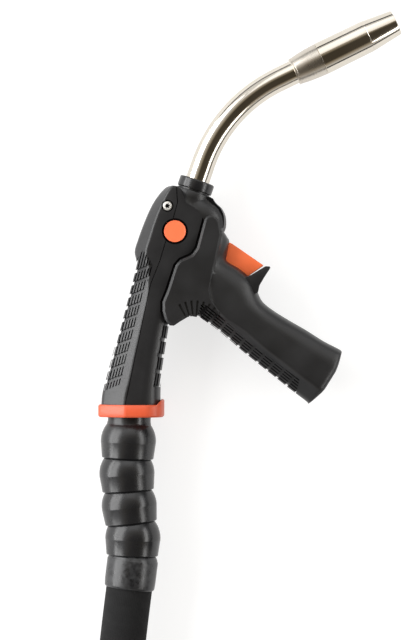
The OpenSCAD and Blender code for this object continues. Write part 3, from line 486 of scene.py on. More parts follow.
def coil_radius(t):
    """The coil grows by a pitch with each turn away from the innermost one, which is rounded off."""
    return COIL_INNER + COIL_PITCH * (math.sqrt(t * t + 0.0016) - 0.04 + 0.0008)


def coil_place(t):
    """A place on the coil: t counts turns from the innermost one, where the hose climbs a layer."""
    climb = 0.0 if t < -0.25 else 1.0 if t > 0.25 else (1 + math.sin(2 * math.pi * t)) / 2
    r, a = coil_radius(t), math.pi * (1 + 2 * TURNS_IN + 2 * t)
    return at(COIL_X + r * math.cos(a), COIL_Y + r * math.sin(a), STRAND_Z + COIL_LAYER * climb)


def smooth_line(points, steps):
    """More points on a smooth curve through the given ones."""
    line = []
    for i in range(len(points) - 1):
        a, b = points[max(i - 1, 0)], points[i]
        c, d = points[i + 1], points[min(i + 2, len(points) - 1)]
        for k in range(steps):
            t = k / steps
            bend = (2 * a - 5 * b + 4 * c - d) + t * (3 * b - a - 3 * c + d)
            line.append(b + t / 2 * ((c - a) + t * bend))
    return [*line, points[-1]]


cuff_foot = at(0.5531, -133.7028)
run = [cuff_foot, at(-3.7124, -168.4418), at(-8, -210, -1), at(-12, -255, -3), at(-15, -300, -5),
       at(-16, -325, STRAND_Z), at(-16, -345, STRAND_Z)]
DOTS_A_TURN = 36
coil = [coil_place(-TURNS_IN + i / DOTS_A_TURN)
        for i in range(round(DOTS_A_TURN * (TURNS_IN + TURNS_OUT)) + 1)]
plug_foot = at(358.4444, -345.0258, 32.3436)
route = [*smooth_line([*run, coil[0]], 4), *coil[1:], plug_foot]
hose_length = sum((b - a).length for a, b in zip(route, route[1:]))
print("route:", len(route), "points,", round(hose_length, 3), "m")

# %% Make the sleeve
sleeve = sweep("hose_sleeve", route, HOSE_D / 2 * MM, sides=40)
print("sleeve:", len(sleeve.data.vertices), "points")
dress(sleeve, sleeve_knit)
for polygon in sleeve.data.polygons:
    polygon.use_smooth = True
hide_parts("hose_run", "hose_coil")
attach(sleeve, "hose")

# %% [markdown]
# ## The table and the light
#
# The floor is a white sheet. To the lamps it is a pale card that takes the torch's soft shadow; to
# the camera, to gloss and to glass it also glows, so that it reads as pure white and the nickel
# has something white to show.

# %% Lay the floor
FLOOR_SHADE, FLOOR_GLOW, GLOSS_GLOW = 0.4, 0.72, 0.66


def glowing_card(name):
    """A pale surface that keeps shadows and reads as white."""
    material = bpy.data.materials.new(name)
    material.use_nodes = True
    nodes, links = material.node_tree.nodes, material.node_tree.links
    nodes.remove(nodes["Principled BSDF"])
    card = add_node(nodes, "BsdfDiffuse", Color=(FLOOR_SHADE, FLOOR_SHADE, FLOOR_SHADE, 1))
    light = nodes.new("ShaderNodeEmission")
    path = nodes.new("ShaderNodeLightPath")
    seen = add_node(nodes, "Value").outputs["Value"]
    seen.default_value = 0.0
    for ray, glow in (("Camera", FLOOR_GLOW), ("Glossy", GLOSS_GLOW), ("Transmission", GLOSS_GLOW)):
        either = nodes.new("ShaderNodeMath")
        either.operation = "MULTIPLY_ADD"
        either.inputs[1].default_value = glow
        links.new(path.outputs["Is " + ray + " Ray"], either.inputs[0])
        links.new(seen, either.inputs[2])
        seen = either.outputs["Value"]
    links.new(seen, light.inputs["Strength"])
    both = nodes.new("ShaderNodeAddShader")
    links.new(card.outputs["BSDF"], both.inputs[0])
    links.new(light.outputs["Emission"], both.inputs[1])
    links.new(both.outputs["Shader"], nodes["Material Output"].inputs["Surface"])
    return material


floor = start("floor_sheet")
bpy.ops.mesh.primitive_grid_add(x_subdivisions=4, y_subdivisions=4, size=12)
put_down(floor, Matrix.Translation((0.1, -0.3, -0.0002)))
dress(floor, glowing_card("floor_white"))
print("floor laid")

# %% [markdown]
# The room is a light tent: white all round, with a dim, slightly brown opening above, where the
# camera looks in. That gives black plastic a bright rim and a dark face. Low black cards stand
# round the table's edge, and they draw the dark lines along round metal. The camera itself sees
# plain white behind the floor. Four lamps add the soft highlights, the strongest from the left.

# %% Light the room
OPENING_WAY, TENT_STRENGTH = (0.26, -0.24, 0.935), 0.85
WHITE, BLACK_CARD = (1, 1, 1), (0.02, 0.02, 0.022)
OPENING, OPENING_RIM = (0.075, 0.062, 0.044), (0.40, 0.34, 0.25)
world = bpy.data.worlds.new("room")
bpy.context.scene.world = world
world.use_nodes = True
room, wires = world.node_tree.nodes, world.node_tree.links
way = room.new("ShaderNodeTexCoord").outputs["Generated"]
towards_opening = room.new("ShaderNodeVectorMath")
towards_opening.operation = "DOT_PRODUCT"
towards_opening.inputs[1].default_value = OPENING_WAY
wires.new(way, towards_opening.inputs[0])
height = room.new("ShaderNodeSeparateXYZ")
wires.new(way, height.inputs["Vector"])
tent = ramp_of(room, wires, towards_opening.outputs["Value"],
               (0.45, WHITE), (0.9, OPENING), (0.8, OPENING_RIM))
table_edge = ramp_of(room, wires, height.outputs["Z"], (0.13, BLACK_CARD), (0.23, WHITE))
both = add_node(room, "Mix", Factor=1.0)
both.data_type, both.blend_type = "RGBA", "MULTIPLY"
wires.new(tent, both.inputs["A"])
wires.new(table_edge, both.inputs["B"])
wires.new(both.outputs["Result"], room["Background"].inputs["Color"])
room["Background"].inputs["Strength"].default_value = TENT_STRENGTH
backdrop = add_node(room, "Background", Color=(*WHITE, 1))
seen_by, chosen = room.new("ShaderNodeLightPath"), room.new("ShaderNodeMixShader")
wires.new(seen_by.outputs["Is Camera Ray"], chosen.inputs["Fac"])
wires.new(room["Background"].outputs["Background"], chosen.inputs[1])
wires.new(backdrop.outputs["Background"], chosen.inputs[2])
wires.new(chosen.outputs["Shader"], room["World Output"].inputs["Surface"])

# Each lamp is a rectangle that looks at the middle: its name, place, size and watts
for name, place, size, power in (
        ("lamp_left", (-1.5, 0.3, 1.1), (2.6, 0.8), 34), ("lamp_low", (-1.7, 0.2, 0.4), (2.4, 0.45), 24),
        ("lamp_right", (1.5, 0.0, 0.95), (2.4, 0.45), 17), ("lamp_top", (0.1, 1.5, 1.3), (1.6, 1.4), 6)):
    lamp = bpy.data.lights.new(name, "AREA")
    lamp.shape, lamp.size, lamp.size_y, lamp.energy = "RECTANGLE", *size, power
    holder = add_object(name, lamp)
    holder.location = place
    holder.rotation_euler = (-Vector(place)).to_track_quat("-Z", "Y").to_euler()
bpy.context.scene.view_settings.view_transform = "Standard"
print("four lamps and a white room")

# %% [markdown]
# ## The handle
#
# The handle is moulded as two shells. Its side is a flat matte panel. Behind the panel a bevelled
# facet falls away to the back, and this facet carries the tread. In front the section is round.
# A cross-section with real corners makes that: each corner has its own place and its own radius,
# and the loft carries it up the handle. A ball or a squashed cylinder would never show the crease.
#
# A row below is one cross-section: the back and the front point of the outline, half the
# thickness, and where the crease lies between back and front.

# %% Draw the handle's cross-sections
HANDLE_ROWS = [
    (-20.5, 6.3, 24.5, 6.3, 21.4, 0.38), (-19.6, 15, 24.3, 15, 21.0, 0.395),
    (-16.3, 28, 25, 27, 20.5, 0.42), (-10.8, 48.5, 27.5, 47, 20.2, 0.425),
    (-4.6, 70, 31.5, 68, 20.2, 0.41), (1, 91, 38, 89, 20.3, 0.375), (6, 112, 49, 108, 20.5, 0.19),
    (4.8, 122, 56, 118.5, 20.6, 0.168), (7.4, 131.5, 63, 127.5, 20.6, 0.154),
    (11.4, 142.5, 72, 137, 20.6, 0.13), (16.3, 154, 73.6, 147, 20.6, 0.125),
    (21.5, 163, 71, 154.5, 20.6, 0.12), (28, 170.4, 66.8, 158.6, 20.4, 0.09),
    (33, 172.2, 64.5, 162.2, 20.0, 0.05),
]
CORE_ROWS = [
    (12, 130.6, 61.5, 127.9, 19.0, 3.2), (15.5, 141.4, 72.6, 136.8, 18.8, 3.0),
    (20, 152.6, 74.2, 146.8, 17.8, 2.8), (25, 161.8, 71.6, 154.2, 16.0, 2.6),
    (31, 169.2, 67.4, 158.3, 13.4, 2.4), (37.6, 172.3, 62.8, 163.5, 11.4, 2.1),
]


# One side of a section from back to front: share across (the crease has its own), share of depth, radius
HANDLE_SIDE = [(0.0, 0.40, 3.0), (None, 1.0, 1.6), (0.76, 1.0, 6.0), (0.94, 0.82, 6.0), (1.0, 0.42, 6.0)]
GRIP_SIDE = [(0.0, 0.36, 4.0), (None, 1.0, 2.4), (0.78, 0.85, 6.0), (0.95, 0.64, 6.0), (1.0, 0.3, 5.0)]


def facet_ring(row, grow=0.0, profile=HANDLE_SIDE):
    """One cross-section with a flat panel, a facet behind it and a round front."""
    back, front = Vector(row[:2]), Vector(row[2:4])
    along, across, half, crease = (front - back).normalized(), (front - back).length, row[4], row[5]
    side = [(crease if u is None else u, w, r) for u, w, r in profile]
    corners = [*side, *[(u, -w, r) for u, w, r in reversed(side)]]
    shape = []
    for i, (u, w, r) in enumerate(corners):
        here = Vector((u * across, w * half))
        before, after = [Vector((corners[j][0] * across, corners[j][1] * half))
                         for j in (i - 1, (i + 1) % len(corners))]
        shape.extend(rounded_corner(before, here, after, r))
    share = 1 + 2 * grow / across, 1 + grow / half
    ring = []
    for u, w in shape:
        place = back + along * (across / 2 + (u - across / 2) * share[0])
        ring.append(at(place.x, place.y, w * share[1]))
    return ring


def rounded_corner(before, here, after, radius, steps=4):
    """The short arc that replaces one corner."""
    back, ahead = before - here, after - here
    reach = min(radius, back.length * 0.45, ahead.length * 0.45)
    a, b = here + back.normalized() * reach, here + ahead.normalized() * reach
    return [a * (1 - k / steps) ** 2 + here * 2 * (k / steps) * (1 - k / steps) + b * (k / steps) ** 2
            for k in range(steps + 1)]


def oval_ring(row, sides=48):
    """One cross-section that is an oval with squared shoulders."""
    back, front = Vector(row[:2]), Vector(row[2:4])
    mid, along, half = (back + front) / 2, (front - back).normalized(), (front - back).length / 2
    ring = []
    for k in range(sides):
        c, s = math.cos(2 * math.pi * k / sides), math.sin(2 * math.pi * k / sides)
        x = math.copysign(abs(c) ** (2 / row[5]), c) * half
        place = mid + along * x
        ring.append(at(place.x, place.y, math.copysign(abs(s) ** (2 / row[5]), s) * row[4]))
    return ring


def rows_between(rows, steps):
    """Cross-sections on a smooth curve through the given ones."""
    return smooth_line([Vector(row) for row in rows], steps)


body = loft("handle_body", [facet_ring(row) for row in rows_between(HANDLE_ROWS, 5)])
print("handle body:", len(body.data.vertices), "points")

# %% [markdown]
# At the head the flat panel ends in a crisp edge, and the glossy shoulder behind it runs up into a
# round throat under the neck's collar. Two cutters take the panel off above that edge, one on each
# side, and a rounder core and a turned throat fill what they uncover.

# %% Shape the head
PANEL_TOP = [(30, 181), (34, 173), (36.6, 172.2), (39.6, 169.2), (42.0, 164.2), (44.2, 158.6),
             (49.4, 155.6), (54.6, 151.4), (56.6, 147.0), (60, 140), (100, 140), (100, 190)]


def side_slab(name, outline, side, low, high):
    """A slab on one side of the middle plane, between two distances from it."""
    return slab(name, outline, *sorted((low * side, high * side)), FLAT)


for side in (1, -1):
    cut(body, side_slab("over_head", PANEL_TOP, side, 11, 40))
core = loft("head_core", [oval_ring(row) for row in rows_between(CORE_ROWS, 5)])
throat = turn_on_lathe("head_throat", [(0, -26), (19.4, -26), (18.0, -22.5), (16.7, -20), (16.0, -17.5),
                                       (15.6, -14.5), (15.3, -10.4), (14.9, -9.5), (12.3, -9.2), (12.3, -8.1),
                                       (0, -8.1)], neck_stand)
cut(core, throat, "UNION")
cut(body, core, "UNION")
print("head shaped:", len(body.data.vertices), "points")

# %% [markdown]
# ## The tread
#
# Where the hand holds it, the plastic is cut into pads with fine grooves. A mould maker would mill
# the tool the same way: bands across, grooves along, each to its own depth under the skin. So the
# cutters are rows of bars, one bar modelled and repeated, trimmed to the tread's outline, and with
# the drawn-in loft taken out of them, so that they bite equally deep all round the back.

# %% Tools for the tread
def bars(name, first, lean, size, step, count):
    """A row of equal bars, the first one at a place, each next one a step further."""
    row = start(name)
    bpy.ops.mesh.primitive_cube_add(size=1)
    bpy.ops.mesh.subdivide(number_cuts=1)
    put_down(row, stand(*first, lean) @ Matrix.Diagonal((size[0] * MM, size[1] * MM, size[2] * MM, 1)))
    return apply_modifier(row, "ARRAY", count=count, use_relative_offset=False, use_constant_offset=True,
                          constant_offset_displace=(step[0] * MM, step[1] * MM, step[2] * MM))


def tread_cut(piece, row, outline, core_rings, spread=1.0):
    """Trims a row of bars to an outline and to the skin, and cuts the piece with it."""
    mid = Vector([sum(point[i] for point in outline) / len(outline) for i in (0, 1)])
    wide = [mid + (Vector(point) - mid) * spread for point in outline]
    zone = slab("zone", wide, -FAR * spread, FAR * spread, FLAT)
    cut(row, zone, "INTERSECT")
    cut(row, loft("under_skin", core_rings))
    return cut(piece, row)


def inner_faces(piece, skin, shade):
    """Paints shade on the faces that lie well under the skin, such as a groove's, as a second material."""
    piece.data.materials.append(shade)
    for polygon in piece.data.polygons:
        if 0.3 * MM < skin.find_nearest(polygon.center)[3] < 1.3 * MM:
            polygon.material_index = 1


def skin_of(piece):
    """A piece's surface as it is now, to measure depths from."""
    shape = bmesh.new()
    shape.from_mesh(piece.data)
    return BVHTree.FromBMesh(shape)


dress(body, shell_black)
body_skin = skin_of(body)
BACK_TREAD = [(-40, 14), (-40, 108), (4, 112.6), (11.4, 123.3), (17.0, 115.0), (18.6, 111), (17.4, 104.5),
              (12.6, 95.2), (9.8, 85), (7.1, 74.9), (4.7, 64.8), (2.4, 55.6), (-0.4, 46.4), (-2.8, 36.3),
              (-4.7, 26.1), (-5.5, 21.8), (-21, 15.5)]
under = {depth: [facet_ring(row, -depth) for row in rows_between(HANDLE_ROWS[:9], 4)]
         for depth in (0.75, 0.95, 1.4)}
# A row of bars: where the first one is, their lean, their size, the step to the next one, how many
tread_cut(body, bars("grooves", (-9.4, 60), -14.3, (0.9, 130, 100), (2.05, 0, 0), 13), BACK_TREAD,
          under[0.95])
tread_cut(body, bars("back_grooves", (-10, 60, -7), -14.3, (60, 130, 0.9), (0, 0, 2.0), 8), BACK_TREAD,
          under[0.75], 0.994)
FRONT_TREAD = [(40, 70), (40, 18), (19.0, 20), (20.0, 26), (21.2, 38), (23.0, 50), (25.4, 61), (27.4, 68)]
tread_cut(body, bars("front_grooves", (23.5, 44), -9, (0.9, 70, 100), (2.0, 0, 0), 5), FRONT_TREAD,
          under[0.95])
tread_cut(body, bars("front_side_grooves", (27, 44, -8), -9, (30, 70, 0.9), (0, 0, 2.0), 9), FRONT_TREAD,
          under[0.75], 0.99)
# The faces deep in the handle's grooves get the painted shade
inner_faces(body, body_skin, painted_groove_shade)
tread_cut(body, bars("bands", (8, 108), 20, (60, 2.4, 100), (-2.61, -9.34, 0), 10), BACK_TREAD, under[1.4],
          1.006)
tread_cut(body, bars("front_bands", (29, 67.2), -16, (30, 2.8, 100), (-2.05, -11.95, 0), 5), FRONT_TREAD,
          under[1.4], 1.01)
print("tread cut:", len(body.data.vertices), "points")

# %% [markdown]
# Inside, the shells are hollow and hold the neck, the current block and the ball joint's head. The
# cavity is the same loft drawn in by the wall. The two shells meet along a line that runs from the
# collar past the disc to the rear ring. Their edges meet tightly inside, and a fine groove runs along
# the outside. A wider groove runs round the place where the grip's saddle lies on the panel. The
# faces these grooves leave are painted with shade, which gives the dark seam and the dark gap.

# %% Hollow the handle and part its shells
# The outline of the grip's saddle, and the line where the shells meet
SADDLE = [(58, 147), (61, 149.5), (65, 149), (68, 147), (69.4, 143.3), (70.9, 134.5), (68.2, 122),
          (66.7, 114.4), (64.8, 106.8), (63.3, 98.4), (62.5, 92.3), (63.7, 86.3), (67.6, 80.2), (70.6, 76),
          (66, 70), (62, 67.4), (54.5, 72), (46.5, 73.5), (39, 69), (33, 65), (28.5, 69), (26.3, 77),
          (26.3, 84), (30, 93), (36, 111.5), (39.5, 115.5), (48.5, 119.5), (52, 124.5), (53.8, 131)]
SPLIT = [(-2, -10), (-2, 6.5), (10.5, 66.5), (17, 97), (24, 114.5), (28.5, 129.5), (34, 146.5), (37.5, 159),
         (37, 165), (36, 190)]
UPPER_SPLIT = [(37.4, 158.6), *SPLIT[8:]]
WALL, SEAM_HALF, SADDLE_GAP = 2.8, 0.28, 1.9


def ball_arc(radius, centre, low, high, steps=16):
    """Points of a ball's outline between two heights, as (radius, height)."""
    a, b = math.asin((low - centre) / radius), math.asin((high - centre) / radius)
    return [(radius * math.cos(a + (b - a) * k / steps), centre + radius * math.sin(a + (b - a) * k / steps))
            for k in range(steps + 1)]


def spread(outline, reach):
    """An outline moved outwards by a distance."""
    wide = []
    for i, corner in enumerate(outline):
        before, here, after = Vector(outline[i - 1]), Vector(corner), Vector(outline[(i + 1) % len(outline)])
        way = (after - here).normalized() + (here - before).normalized()
        out = Vector((-way.y, way.x)).normalized()
        wide.append(tuple(here + out * reach))
    return wide


def seam_groove(line, wide):
    """A narrow outline along both sides of a line."""
    return [(x - wide, y) for x, y in line] + [(x + wide, y) for x, y in reversed(line)]


HEAD_SOCKET = [(0, -30), (18.9, -30), *ball_arc(19.55, 0, -5, 14.6), (13, 30), (0, 30)]
cut(body, loft("cavity", [facet_ring(row, -WALL) for row in rows_between(HANDLE_ROWS[2:10], 4)]))
cut(body, turn_on_lathe("bore", [(0, -72), (9.25, -72), (9.25, 2), (0, 2)], neck_stand))
cut(body, turn_on_lathe("socket", HEAD_SOCKET, stand(1.2, 8, 0)))
for side in (1, -1):
    # The faces of the seams and the saddle's gap get painted shade
    cut(body, side_slab("seam", seam_groove(SPLIT, SEAM_HALF), side, 18.9, 30), shade=painted_groove_shade)
    cut(body, side_slab("upper_seam", seam_groove(UPPER_SPLIT, 0.26), side, 10.8, 29), shade=painted_groove_shade)
    cut(body, side_slab("saddle_gap", spread(SADDLE, SADDLE_GAP), side, 18.8, 31), shade=painted_groove_shade)
shells = {}
for name, beyond, shift in (("rear_cover_shell", 200, 0.02), ("front_shell_body", -200, -0.02)):
    shell = add_object(name, body.data.copy())
    line = [(x - shift, y) for x, y in SPLIT]
    shells[name] = cut(shell, slab("other_side", [*line, (beyond, 190), (beyond, -10)], -FAR, FAR, FLAT))
bpy.data.objects.remove(body)
rear_cover, front_shell = shells.values()
print("shells:", len(rear_cover.data.vertices), "and", len(front_shell.data.vertices), "points")

# %% [markdown]
# The orange disc and the cover screw sit in round seats that are cut straight into the side. The
# seats' faces are painted with shade, so a dark ring shows round each. Then the two shells are
# finished and take their solids' places.

# %% Sink the disc and the screw
BADGE, COVER_SCREW = (35.5, 137.2), (29.8, 156.4)
BADGE_SEAT, SCREW_SEAT, SEAT_TALL, BADGE_SEAT_R, SCREW_SEAT_R = 18.9, 17.4, 12, 9.8, 4.5


def seat(name, radius, place, low, steps):
    """A round cutter that stands on a side of the handle, from a height up."""
    return turn_on_lathe(name, [(0, 0), (radius, 0), (radius, SEAT_TALL), (0, SEAT_TALL)],
                         stand(*place, 0, low) @ UPWARDS, steps)


for shell in (rear_cover, front_shell):
    # The seats' faces get painted shade
    cut(shell, seat("disc_seat", BADGE_SEAT_R, BADGE, BADGE_SEAT, 64), shade=painted_groove_shade)
cut(rear_cover, seat("screw_seat", SCREW_SEAT_R, COVER_SCREW, SCREW_SEAT, 48), shade=painted_groove_shade)
for shell, node in ((rear_cover, "rear_cover"), (front_shell, "front_shell")):
    soften(shell, 0, 30)
    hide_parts(node)
    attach(shell, "handle")
print("shells finished")

# %% [markdown]
# ## The pistol grip
#
# The grip clips over the handle. Its saddle is a flat plate with a bevelled rim on each side, and a
# groove left round the rim keeps it from rubbing on the handle. The grip itself is a loft like the
# handle's: a tread facet towards the fingers, a crease, and a side that slopes to a round front.
# It is moulded in two halves, screwed together from the far side, with a slot for the trigger.

# %% Draw the grip
GRIP_ROWS = [
    (136.5, 6.6, 161.6, 45.2, 15, 0.30), (135, 8.6, 160.8, 47.6, 17.6, 0.28),
    (122.5, 18, 148.5, 54, 19, 0.29), (107.5, 29.5, 135, 62.5, 19.8, 0.30),
    (92.5, 41.5, 122, 70, 20.8, 0.31), (77, 55, 110, 77.5, 22, 0.32),
    (62, 67, 102, 84, 23.4, 0.28), (50, 74, 98, 91.5, 23.6, 0.34), (38, 82, 94, 101, 23.6, 0.44),
    (32, 95, 84, 109.5, 23.4, 0.58), (39, 112, 74.6, 115.6, 23, 0.66), (46, 122, 75.6, 123.5, 22.6, 0.72),
    (53, 131, 76.2, 130.5, 21.6, 0.72), (59, 136.5, 72.5, 137.2, 19, 0.6),
]
NOSE = [(55, 117), (55, 136), (69.5, 139), (71, 136.5), (77, 131), (76, 126.5), (73.9, 115.5)]
SPUR = [(92.6, 104.2), (103.8, 111), (107.3, 110.8), (107.6, 109.6), (103, 102.6), (99.4, 96.4), (98.2, 91),
        (88, 88), (80, 100)]
LEAD_CHANNEL = [(76, 97), (71, 88), (58, 86.5), (44, 92), (33, 94), (33, 101), (46, 101), (60, 95), (69, 97)]
POCKET = [(-14, 4), (-14, 14.2), (-5, 14.2), (0, 30), (40, 30), (28.9, 13), (22, 0.4), (21.6, -9),
          (21.6, -17), (1.4, -17), (-3.6, -9), (-3.6, 1), (-6.4, 4)]
TRIGGER_PIVOT = (-8.5, 9.5)
LEAD_HALF, SLOT_HALF, LEVER_HALF, PIN_HALF = 3.4, 7.6, 7.3, 12
SADDLE_HALF, UNDER_SADDLE = 24, 22.9


def disc_of(radius, x=0.0, y=0.0, sides=32):
    """A circle's points."""
    return [(x + radius * math.cos(2 * math.pi * k / sides), y + radius * math.sin(2 * math.pi * k / sides))
            for k in range(sides)]


def bulged(ring, row, reach):
    """Bends a cross-section outwards in its middle, as the grip's end is."""
    back, front = at(*row[:2]), at(*row[2:4])
    along, mid = (front - back).normalized(), (back + front) / 2
    out = Vector((along.y, -along.x, 0))
    half = (front - back).length / 2
    return [p + out * reach * MM * max(0.0, 1 - ((p - mid).dot(along) / half) ** 2) for p in ring]


grip_rows = rows_between(GRIP_ROWS, 4)
END = GRIP_ROWS[0]
grip_rings = [bulged(facet_ring(END, -inset, GRIP_SIDE), END, 4.4) for inset in (13, 8, 4, 1.2)]
grip_rings += [bulged(facet_ring(row, 0, GRIP_SIDE), row, 4.0 * max(0.0, 1 - i / 8))
               for i, row in enumerate(grip_rows)]
grip = loft("grip_body", grip_rings)
soften(grip, 0.8, 50, 2)
# Each block on the grip: its outline, half its thickness, its edge's radius and the steps of that
for name, outline, half, edge, steps in (
        ("saddle", SADDLE, SADDLE_HALF, 2.0, 1), ("nose", NOSE, 10, 2.6, 3), ("spur", SPUR, 14.5, 3.4, 4)):
    cut(grip, soften(slab(name, outline, -half, half, FLAT), edge, 25, steps), "UNION")
dress(grip, grip_black)
grip_skin = skin_of(grip)
print("grip:", len(grip.data.vertices), "points")

# %% [markdown]
# The grip's tread is cut like the handle's: fine grooves along it, then wider bands across. Where
# it turns under the saddle, a fan of narrow slots takes over.

# %% Tread the finger side
GRIP_TREAD = [(55.5, 83), (61, 80.2), (66.5, 76.2), (72, 70.9), (81, 63), (94, 52.2), (109.3, 40.4),
              (129.5, 25.2), (126, 10), (118, 4), (60, 52), (50, 68)]
under_grip = {depth: [facet_ring(row, -depth, GRIP_SIDE) for row in rows_between(GRIP_ROWS[:9], 4)]
              for depth in (0.9, 1.4)}
tread_cut(grip, bars("grip_grooves", (100.5, 35.0), -38.6, (130, 0.9, 100), (1.25, 1.56, 0), 6), GRIP_TREAD,
          under_grip[0.9])
# The faces deep in the grip's grooves get the painted shade
inner_faces(grip, grip_skin, painted_groove_shade)
tread_cut(grip, bars("grip_bands", (56.2, 76.4), 50, (15, 2.2, 100), (7.17, -6.08, 0), 12), GRIP_TREAD,
          under_grip[1.4], 1.004)
FAN_MIDDLE, FAN_START, FAN_STEP, FAN_SLOTS = (50.5, 60), 28, -11, 7
for k in range(FAN_SLOTS):
    slot = slab("fan_slot", [(-0.55, 12), (0.55, 12), (0.85, 25), (-0.85, 25)], -FAR, FAR,
                stand(*FAN_MIDDLE, FAN_START + FAN_STEP * k))
    cut(slot, slab("under_saddle", SADDLE, -UNDER_SADDLE, UNDER_SADDLE, FLAT))
    cut(grip, slot)
print("tread cut:", len(grip.data.vertices), "points")

# %% [markdown]
# The grip closes round the handle, so the handle's skin is cut out of it, with the slot for the
# trigger, the channel for the switch's leads and the screws' bores. A cut down its middle leaves
# the two halves.

# %% Fit it to the handle and part its halves
cut(grip, loft("handle_skin", [facet_ring(row, 0.15) for row in rows_between(HANDLE_ROWS[2:13], 5)]))
cut(grip, slab("leads", LEAD_CHANNEL, -LEAD_HALF, LEAD_HALF, FLAT))
cut(grip, slab("slot", POCKET, -SLOT_HALF, SLOT_HALF, rim_stand))
cut(grip, slab("pin_bore", disc_of(1.52, *TRIGGER_PIVOT), -PIN_HALF, PIN_HALF, rim_stand))
GRIP_SCREWS = ((66, 84), (102, 60), (138, 34))
BORE_LOW, BORE_TOP, HEAD_LOW, HEAD_SEAT = -31, 8.6, -40, -14
for x, y in GRIP_SCREWS:
    cut(grip, slab("screw_bore", disc_of(1.55, x, y), BORE_LOW, BORE_TOP, FLAT))
    cut(grip, slab("screw_pocket", disc_of(3.3, x, y), HEAD_LOW, HEAD_SEAT, FLAT))
for name, beyond in (("grip_near_shell", (-FAR, 0.05)), ("grip_far_shell", (-0.05, FAR))):
    half = add_object(name, grip.data.copy())
    cut(half, slab("other_half", [(0, -30), (200, -30), (200, 190), (0, 190)], *beyond, FLAT))
    soften(half, 0, 30)
    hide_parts(name.replace("shell", "half"))
    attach(half, "handle")
bpy.data.objects.remove(grip)
print("grip parted")

# %% [markdown]
# The trigger is one moulding with rounded edges. It swings on a steel pin in the grip's slot.

# %% Shape the trigger
TRIGGER = [(-11.5, 6.5), (-11.5, 12), (-8, 13), (-2.4, 13.6), (26.3, 11.8), (21, 0), (20.4, -7), (0.6, -7),
           (-1.8, 0), (-5, 6)]
lever = soften(slab("trigger_lever", TRIGGER, -LEVER_HALF, LEVER_HALF, rim_stand), 0.9, 25, 3)
cut(lever, slab("pivot_bore", disc_of(1.55, *TRIGGER_PIVOT), -PIN_HALF, PIN_HALF, rim_stand))
soften(lever, 0, 30)
dress(lever, orange_dyed)
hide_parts("trigger")
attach(lever, "trigger")
print("trigger:", len(lever.data.vertices), "points")

# %% [markdown]
# ## The rear ring
#
# An orange ring closes the handle behind and holds the guard's first joint. It has the handle's
# own section with the same facet, and a lip in front that climbs over the shell. So it is lofted
# like the handle, and the shell and the socket are cut out of it.

# %% Mould the rear ring
RING_ROWS = [(-3.2, 1.0), (-2.0, 0.0), (5.3, 0.0), (6.2, 0.7)]
LIP_ROWS = [(4.3, 0.0), (9.2, 0.0), (10.0, 0.7)]


def ring_loft(name, rows):
    """The ring's outline at several heights, each drawn in by its own amount."""
    return loft(name, [facet_ring((-22.8, y, 27.2, y, 25.0, 0.4), -inset) for y, inset in rows])


ring = ring_loft("rear_ring_moulded", RING_ROWS)
lip = ring_loft("ring_lip", LIP_ROWS)
cut(lip, loft("shell_in_lip", [facet_ring((-20.5, y, 24.5, y, 21.4, 0.4), 0.1) for y in (-5, 20)]))
cut(lip, slab("behind_lip", [(-40, -10), (15.5, -10), (15.5, 1), (21.6, 6.1), (24.9, 9.6), (24.9, 30),
                             (-40, 30)], -FAR, FAR, FLAT))
cut(ring, lip, "UNION")
cut(ring, turn_on_lathe("ring_socket", HEAD_SOCKET, stand(1.2, 8, 0)))
dress(soften(ring, 0.35, 40, 2), orange_ring)
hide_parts("rear_ring")
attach(ring, "handle")
print("ring:", len(ring.data.vertices), "points")

# %% [markdown]
# ## The ball chain
#
# The hose guard is a chain of equal ball joints. Each one is a ball on top and a skirt below, with
# a round socket in the skirt that grips the next ball. They are turned forms, so one profile is
# spun, and the others are copies of it. The first has a stem and a head instead of its top, and
# the last is the cuff that the hose is pressed into.

# %% Turn the balls
SOCKET = ball_arc(21.05, -24.6, -13.26, -7.31)[::-1]
SKIRT = [(17.9, -13.26), (18.8, -13.26), (19.25, -13.1), (19.635, -12.66), (20.9, -1.5)]
BALL = [*SOCKET, *SKIRT, *ball_arc(21, 0, -1.4, 14.1, 24), (14.9, 14.49), (12.4, 14.49), (12, 14.1)]
HEADED = [*SOCKET, *SKIRT, *ball_arc(21, 0, -1.4, 12.6, 22), (16.6, 13.9), (16.3, 15.2),
          *[(r, h + 29.7) for r, h in ball_arc(19.5, 0, -10.7, 11.7, 24)], (12, 41.4)]
CUFF = [(0, -14), (16.9, -14), (17.8, -13.9), (18.7, -13.1), (19.0, -12.2), (19.3, -8), (19.35, 7.3),
        (19.2, 8.0), (18.8, 8.7), *ball_arc(21, 0, 9.6, 14.1, 12), (14.9, 14.49), (12.4, 14.49), (12, 14.1),
        (12, -11), (0, -11)]
CHAIN = [("ball_1_turned", "ball_1", HEADED, (-0.0955, -21.672, -2.5)),
         ("ball_2_turned", "ball_2", BALL, (-1.1686, -46.249, 4)),
         ("ball_3_turned", "ball_3", None, (0.5474, -70.789, 6.5)),
         ("ball_4_turned", "ball_4", None, (3.3322, -95.231, -2.5)),
         ("hose_cuff_turned", "hose_cuff", CUFF, (2.2592, -119.808, -7))]
for name, node, profile, place in CHAIN:
    if profile:
        piece = turn_on_lathe(name, profile, None)
        turned_mesh = piece.data.copy()
    else:
        piece = add_object(name, turned_mesh.copy())
    put_down(piece, stand(*place))
    face_outwards(piece)
    dress(soften(piece, 0, 30), cuff_scuffed if node == "hose_cuff" else joint_black)
    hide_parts(node)
    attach(piece, "hose" if node == "hose_cuff" else node)

# %% [markdown]
# ## The nozzle
#
# The nozzle is turned from a nickel-plated copper bar: a satin socket that swells from the neck,
# then a polished barrel with a fine groove where the taper starts, and a thin bright mouth. Hair
# lines and tiny chamfers catch the light, so they are in the profile rather than in the material.

